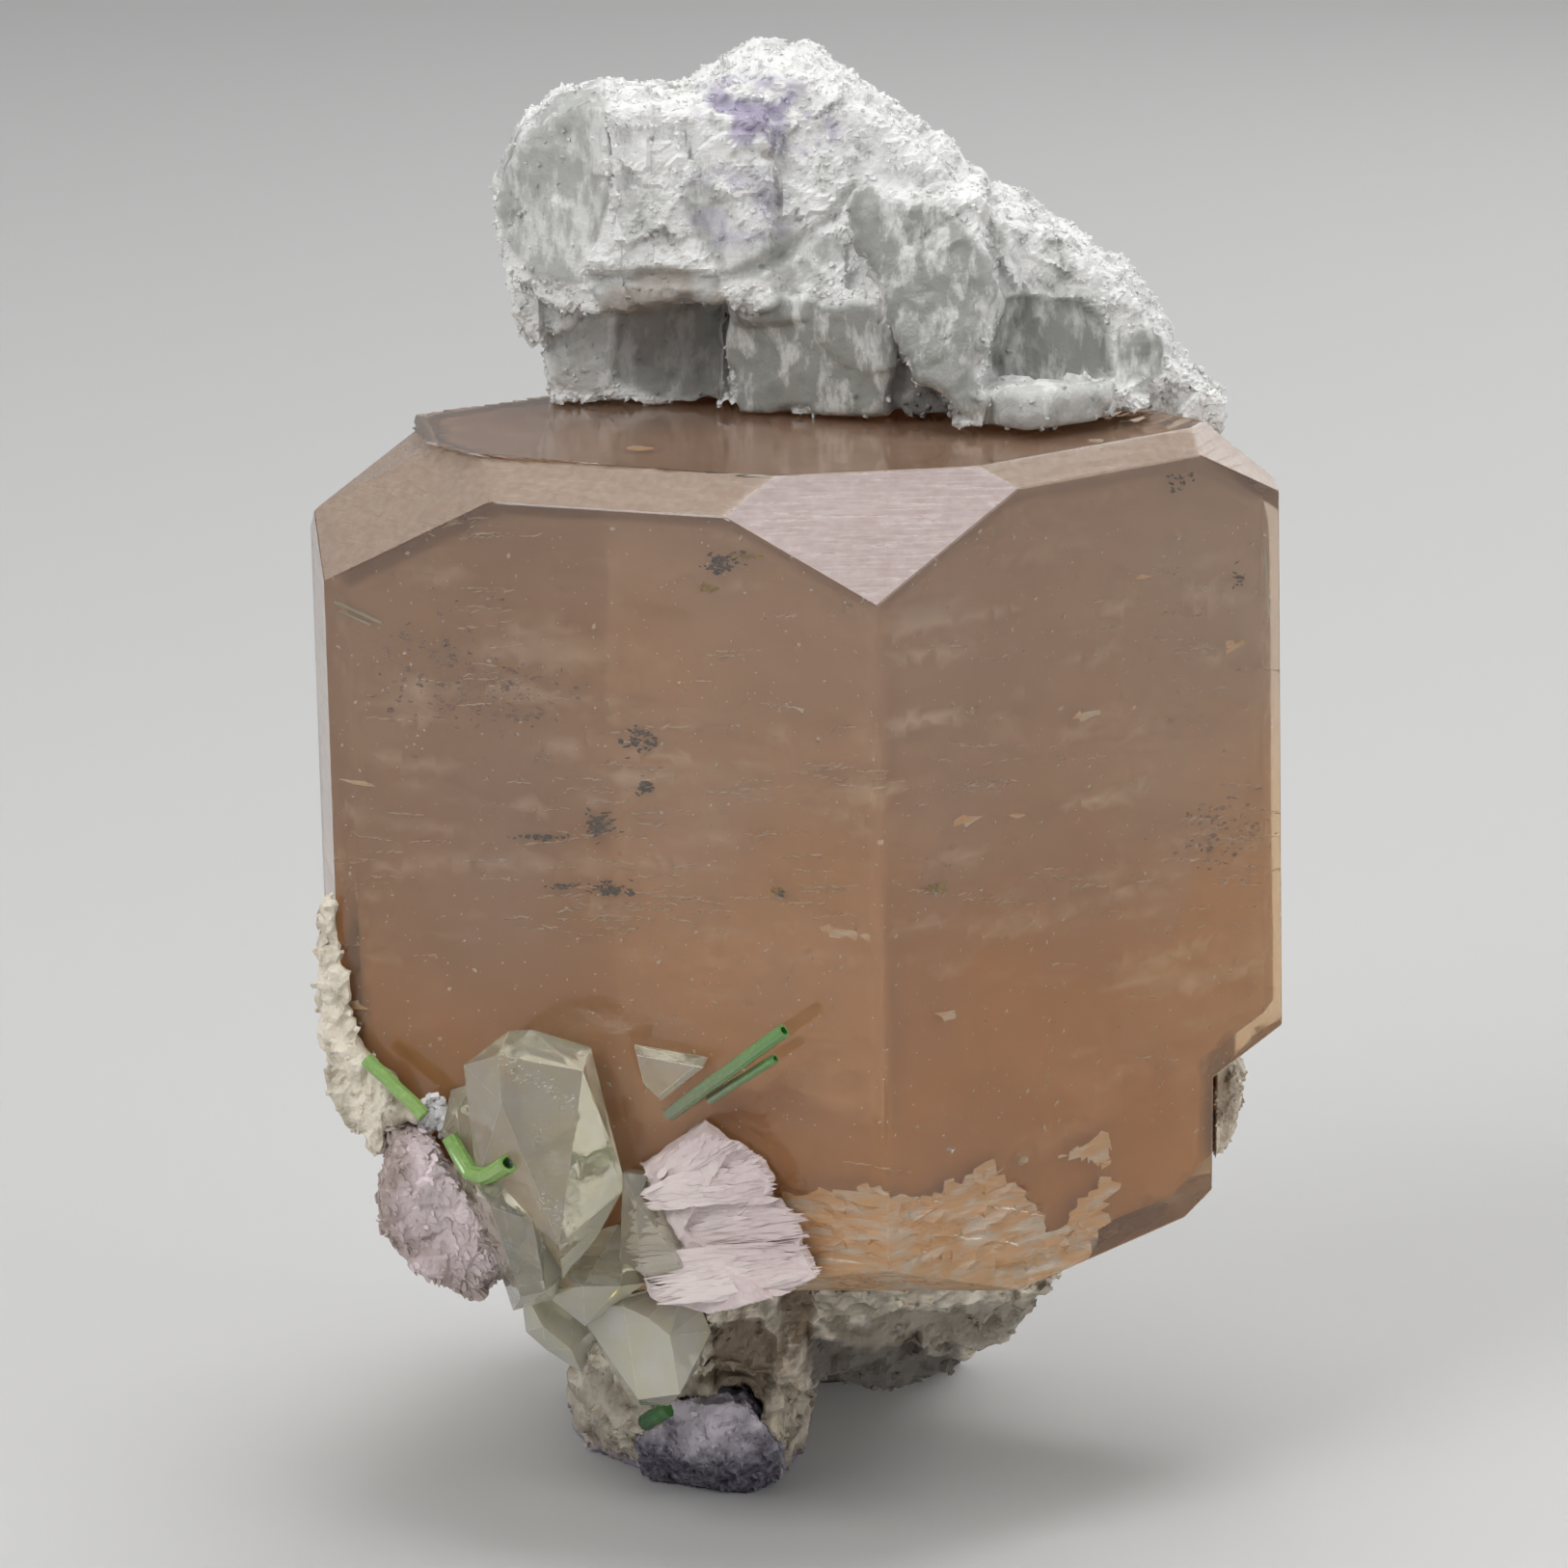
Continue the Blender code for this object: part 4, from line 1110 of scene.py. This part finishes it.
def build_tourmalines():
    needle(
        "long_needle", "tourmaline_long_needle", (-0.0040, -0.0245, 0.0386), (0.0053, -0.0299, 0.0472),
        0.00062, TOURMALINE, hollow=0.0012, end_scale=0.98,
    )
    needle(
        "short_needle", "tourmaline_short_needle", (-0.0007, -0.0257, 0.0402), (0.0046, -0.0285, 0.0445),
        0.00042, TOURMALINE, hollow=0.0005,
    )
    needle(
        "left_needle", "tourmaline_left_needle", (-0.0288, -0.0148, 0.0405), (-0.0240, -0.0174, 0.0365),
        0.00065, TOURMALINE_BRIGHT,
    )
    bend = [Vector(p) for p in ((-0.0219, -0.0195, 0.0353), (-0.0210, -0.0202, 0.0338), (-0.0201, -0.0212, 0.0327))]
    bend += [hit("quartz_cluster", px, py)[0] - pixel_ray(px, py) * 0.6 * MM for px, py in ELBOW_PLACES]
    points, faces, shades, slots = prism(bend, 0.00072, hollow=0.0009, end_scale=1.2)
    made = new_object("elbow", keep_in(np.array([tuple(p) for p in points])), faces, slots=slots, sharp=35, shade=shades)
    settle(made, "tourmaline", [TOURMALINE_BRIGHT, TOURMALINE_DARK], "tourmaline_elbow")
    needle(
        "foot_stub", "tourmaline_foot_stub", (-0.0064, -0.0112, 0.0080), (-0.0043, -0.0121, 0.0096),
        0.00075, TOURMALINE_DARK,
    )


# What is sealed in the crystal

# Middle of each veil in the picture, its width and height there, how many flakes it has and its depths
VEILS = (
    (480, 700, 85, 110, 300, (0.5, 2.6)),
    (560, 870, 190, 60, 260, (0.5, 3.0)),
    (640, 940, 150, 30, 220, (0.4, 2.4)),
    (820, 810, 260, 26, 240, (0.5, 3.0)),
    (780, 925, 180, 34, 200, (0.4, 2.6)),
    (460, 545, 70, 20, 60, (0.4, 2.0)),
    (1190, 645, 90, 50, 130, (0.5, 2.8)),
    (1260, 870, 60, 60, 160, (0.5, 3.0)),
    (1070, 915, 60, 25, 80, (0.4, 2.4)),
    (400, 900, 60, 80, 90, (0.4, 2.0)),
    (640, 790, 60, 60, 70, (0.4, 2.4)),
    (1180, 990, 140, 120, 90, (0.4, 3.0)),
    (820, 800, 420, 180, 420, (0.4, 3.0)),
)
DARK_PLACES = (
    (750, 583, 18, 9, 70), (664, 768, 17, 12, 60), (668, 815, 9, 8, 26), (622, 856, 15, 12, 70), (560, 868, 28, 2, 34),
    (635, 922, 20, 8, 80), (582, 919, 14, 2, 20), (1285, 600, 8, 12, 16), (1222, 500, 14, 10, 20), (810, 925, 5, 4, 10),
)
OCHRE_PLACES = ((735, 610, 11, 5, 26), (770, 577, 22, 3, 14), (806, 925, 8, 4, 10), (968, 921, 18, 6, 26))
CLOUD_PLACES = ((450, 690, 60, 60, 220), (530, 725, 60, 40, 160), (1270, 860, 50, 40, 120))
SPOT_PLACES = ((1061, 1201, 5, 6, 14), (985, 1194, 5, 4, 8))
SEALED_NEEDLES = (
    ("sealed_needle_left", (347, 624), (396, 646), 0.16),
    ("sealed_needle_lower", (352, 634), (384, 648), 0.10),
    ("sealed_needle_right", (1311, 570), (1316, 640), 0.14),
)
FEATHER_PLACES = (
    (900, 1225, 60, 30, 40), (960, 1275, 90, 30, 60), (1050, 1285, 40, 20, 30), (1010, 1245, 70, 26, 40),
)

# Size of the milky skin against the crystal, and how solid it is: everywhere, in clouds and in streaks
SKIN_SIZE = 0.95
SKIN_SHARE = (0.59, 0.15, 0.26)
STREAK_SHARE = 0.6

# Places on the growth zones that cross the crystal, each with its slope to the right
GROWTH_PLACES = ((600, 865, 0.03), (850, 815, 0.0))

# Which way most of the bright flakes face
GLINT = (-0.35, -0.75, 0.55)

# Pixels from flake to flake in a run
RUN_STEP = 8


def gather(places, depths, sizes, sides, up, shade, slender=(0.25, 0.7), run=1, slope=0.0):
    """Flakes around some places inside the crystal, alone or in runs that fall by a slope in the picture."""
    made = Grains()
    spread = 0.45 if run == 1 else 0.2
    for x, y, wide, high, number in places:
        for n in range(number):
            if n % run:
                step = RUN_STEP * rng.uniform(0.4, 1.4)
                px, py = px + step, py + fall * step + rng.normal(0, 0.6)
            else:
                px, py = x + rng.normal(0, wide / 2), y + rng.normal(0, high / 2)
                depth = rng.uniform(*depths) * MM
                fall = slope + rng.normal(0, 0.07)
            point = inside(px, py, depth)
            if point is None or clear_of_crystal(np.array([tuple(point)]))[0] > -0.15 * MM:
                continue
            normal = np.array(up) + rng.normal(0, spread, 3)
            size = rng.uniform(*sizes) * MM
            made.plate(
                point,
                normal,
                (1, rng.normal(0, spread), rng.normal(-fall, 0.6 * spread)),
                size,
                size * rng.uniform(*slender),
                size * 0.08,
                sides,
                rng.uniform(*shade),
                0.5,
            )
    return made


def section(place, normal):
    """The crystal's outline on a plane, in order around its middle."""
    shape = merged("morganite_crystal")
    parts = shape.verts[:] + shape.edges[:] + shape.faces[:]
    cut = bmesh.ops.bisect_plane(shape, geom=parts, plane_co=place, plane_no=normal)
    rim = np.array([tuple(part.co) for part in cut["geom_cut"] if isinstance(part, bmesh.types.BMVert)])
    shape.free()
    middle = rim.mean(axis=0)
    u = np.array(Vector(normal).orthogonal().normalized())
    w = np.cross(np.array(normal), u)
    order = np.argsort(np.arctan2((rim - middle) @ w, (rim - middle) @ u))
    return rim[order], middle


def growth_zone(name, place, normal, grain, wave):
    """A thin wavy sheet of streaks across the crystal, which fades near the faces."""
    n = np.array(Vector(normal).normalized())
    rim, middle = section(place, n)
    u = np.array(Vector(n).orthogonal().normalized())
    w = np.cross(n, u)
    corners = np.stack([(rim - middle) @ u, (rim - middle) @ w], axis=1) * 0.97
    line = []
    for a, b in zip(corners, np.roll(corners, -1, axis=0)):
        parts = max(1, math.ceil(np.linalg.norm(b - a) / grain))
        line += [a + (b - a) * part / parts for part in range(parts)]
    inner, clear, triangles = fill_outline(np.array(line), corners, grain, grain)
    flat = np.vstack([line, inner])
    fade = ramp(np.concatenate([np.zeros(len(line)), clear]), 0, 5 * MM)
    spots = middle + np.outer(flat[:, 0], u) + np.outer(flat[:, 1], w)
    spots += np.outer(wave * rough(spots, 7 * MM, 3, 71) * fade, n)
    half = 0.03 * MM * n
    count, side = len(line), len(spots)
    faces = triangles + [tuple(side + i for i in reversed(triangle)) for triangle in triangles]
    faces += [((i + 1) % count, i, side + i, side + (i + 1) % count) for i in range(count)]
    streaks = rough(spots * (0.3, 0.8, 1.0), 1.1 * MM, 3, 83) + 0.5 * rough(spots, 9 * MM, 2, 86)
    share = np.tile(STREAK_SHARE * ramp(streaks, 0.15, 1.0) * fade, 2)
    spots = np.vstack([spots + half, spots - half])
    made = new_object(name, spots, faces, share=share, height=height_of(spots), pale=0.7 * share)
    settle(made, "morganite", [HAZE])


def skin_relief(points, normal, flat):
    return 0.5 * MM * (0.5 + 0.5 * rough(points, 7 * MM, 3, 71))


def build_haze():
    """A milky skin a little inside the crystal, and growth zones that cross it."""
    shape = merged("morganite_crystal")
    middle = sum((v.co for v in shape.verts), Vector()) / len(shape.verts)
    for vert in shape.verts:
        vert.co = middle.lerp(vert.co, SKIN_SIZE)
    points, faces, _ = filled(shape, 1.5 * MM, 0.5 * MM, skin_relief, lambda normal: 0)
    shape.free()
    places = to_pixels(points)
    clouds = ramp(rough(points * (0.7, 0.7, 1.3), 10 * MM, 4, 81), -0.8, 0.8)
    lines = ramp(rough(points * (0.16, 0.16, 1.0), 1.3 * MM, 3, 84), 0.0, 0.9)
    zone = np.max([spot(places, x, y, 1.4 * wide, 1.4 * high) for x, y, wide, high, _, _ in VEILS], axis=0)
    wisps = lines * (0.25 + 0.75 * zone) * ramp(rough(points, 5 * MM, 3, 85), -0.5, 0.4)
    share = SKIN_SHARE[0] + SKIN_SHARE[1] * clouds + SKIN_SHARE[2] * wisps
    made = new_object("haze", points, faces, share=share, height=height_of(points), pale=0.95 * wisps)
    settle(made, "morganite", [HAZE])
    for px, py, tilt in GROWTH_PLACES:
        growth_zone(f"growth_{px}_{py}", inside(px, py, 5 * MM), (tilt, 0.02, 1.0), 1.0 * MM, 0.8 * MM)


def build_inclusions():
    for x, y, wide, high, number, depths in VEILS:
        places = ((x, y, wide, high, number),)
        veil = gather(places, depths, (0.2, 1.5), 5, (-0.2, -0.8, 0.7), (0.0, 1.0), (0.04, 0.15), 6)
        settle(veil.object(f"veil_{x}_{y}"), "morganite", [VEIL])
    cloud = gather(CLOUD_PLACES, (0.5, 2.0), (0.2, 1.0), 5, (0, -0.5, 0.6), (0, 1))
    settle(cloud.object("cloud"), "morganite", [CLOUD])
    dark = gather(DARK_PLACES, (0.4, 1.3), (0.3, 0.9), 5, (0, -0.8, 0.7), (0, 1))
    settle(dark.object("dark_flecks"), "morganite", [DARK])
    ochre = gather(OCHRE_PLACES, (0.4, 1.3), (0.4, 1.0), 6, (0, -0.8, 0.7), (0, 1))
    settle(ochre.object("ochre_stains"), "morganite", [OCHRE])
    feathers = gather(FEATHER_PLACES, (0.3, 1.0), (0.5, 1.4), 7, (0, -0.5, 1.0), (0, 1), (0.04, 0.11), 10, 0.15)
    settle(feathers.object("feathers"), "morganite", [FEATHER])
    sparks = Grains()
    for _ in range(1700):
        px, py = rng.uniform(345, 1320), rng.uniform(540, 1180)
        point = inside(px, py, rng.exponential(1.0) * MM + 0.3 * MM)
        if point is None or clear_of_crystal(np.array([tuple(point)]))[0] > -0.25 * MM:
            continue
        size = (0.09 + min(rng.exponential(0.08), 0.3)) * MM
        facing = np.array(GLINT) + rng.normal(0, 0.25, 3)
        sparks.plate(point, facing, rng.normal(size=3), size * 1.6, size, size * 0.3, 4, rng.random())
    settle(sparks.object("sparkles"), "morganite", [SPARKLE])
    flakes = gather(SPOT_PLACES, (0.2, 0.5), (0.3, 0.9), 6, (0, -0.9, 0.3), (0.5, 1))
    settle(flakes.object("white_spots"), "morganite", [WHITE_FLAKE])
    for name, start, end, radius in SEALED_NEEDLES:
        path = [inside(*start, 0.9 * MM).lerp(inside(*end, 0.9 * MM), share) for share in np.linspace(0, 1, 6)]
        points, faces, shades, _ = prism(path, radius * MM, sides=12)
        made = new_object(name, np.array([tuple(p) for p in points]), faces, sharp=35, shade=shades)
        settle(made, "morganite", [SEALED_NEEDLE])


# Scene


def area_light(name, place, aim, size, power, colour=(1, 1, 1)):
    data = bpy.data.lights.new(name, "AREA")
    data.shape = "RECTANGLE"
    data.size, data.size_y = size
    data.energy = power
    data.color = colour
    made = bpy.data.objects.new(name, data)
    made.location = place
    made.rotation_euler = (Vector(aim) - Vector(place)).to_track_quat("-Z", "Y").to_euler()
    bpy.context.scene.collection.objects.link(made)


def build_stage():
    side = 6.0
    corners = [(-side, -side, 0), (side, -side, 0), (side, side, 0), (-side, side, 0)]
    mesh = bpy.data.meshes.new("floor")
    mesh.from_pydata(corners, [], [(0, 1, 2, 3)])
    floor = bpy.data.objects.new("floor", mesh)
    bpy.context.scene.collection.objects.link(floor)
    made, _, shader = material("floor")
    shader.inputs["Base Color"].default_value = (0.61, 0.61, 0.60, 1)
    shader.inputs["Roughness"].default_value = 0.7
    mesh.materials.append(made)
    world = bpy.data.worlds.new("studio")
    world.use_nodes = True
    world.node_tree.nodes["Background"].inputs["Color"].default_value = (0.80, 0.80, 0.82, 1)
    world.node_tree.nodes["Background"].inputs["Strength"].default_value = 0.38
    bpy.context.scene.world = world
    target = (0.005, 0, 0.06)
    area_light("key", (-0.55, -0.60, 0.75), target, (0.5, 0.5), 4.4)
    area_light("top", (0.05, 0.05, 0.95), target, (0.6, 0.6), 4.2)
    area_light("fill", (0.75, -0.45, 0.35), target, (0.5, 0.6), 1.7)
    area_light("rim", (0.35, 0.70, 0.50), target, (0.5, 0.5), 1.5)
    scene = bpy.context.scene
    scene.view_settings.view_transform = "Standard"
    scene.cycles.max_bounces = 7
    scene.cycles.diffuse_bounces = 2
    scene.cycles.glossy_bounces = 3
    scene.cycles.transmission_bounces = 7
    scene.cycles.transparent_max_bounces = 16
    scene.cycles.adaptive_threshold = 0.08
    scene.cycles.adaptive_min_samples = 12
    scene.cycles.use_denoising = True


def build_camera():
    data = bpy.data.cameras.new("camera")
    data.lens = CAMERA_LENS
    data.sensor_width = CAMERA_SENSOR
    data.clip_start = 0.01
    data.clip_end = 50.0
    made = bpy.data.objects.new("camera", data)
    made.location = CAMERA_PLACE
    made.rotation_euler = (CAMERA_TILT, 0, 0)
    bpy.context.scene.collection.objects.link(made)
    bpy.context.scene.camera = made


build_camera()
build_stage()
build_crystal()
build_quartz()
build_cap()
build_matrix()
build_patch()
build_fluff()
scaly_piece(
    "lepidolite_scales", "lepidolite_left", LEPIDOLITE, 0.28 * MM, 30, 1300, (-0.4, -0.8, 0.3), (0.4, 1.3), left_shade
)
scaly_piece(
    "lepidolite_base", "lepidolite_foot", LEPIDOLITE_DARK, 0.25 * MM, 32, 500, (0.0, -0.9, 0.3), (0.3, 0.9), foot_shade
)
build_fan()
build_tourmalines()
build_haze()
build_inclusions()
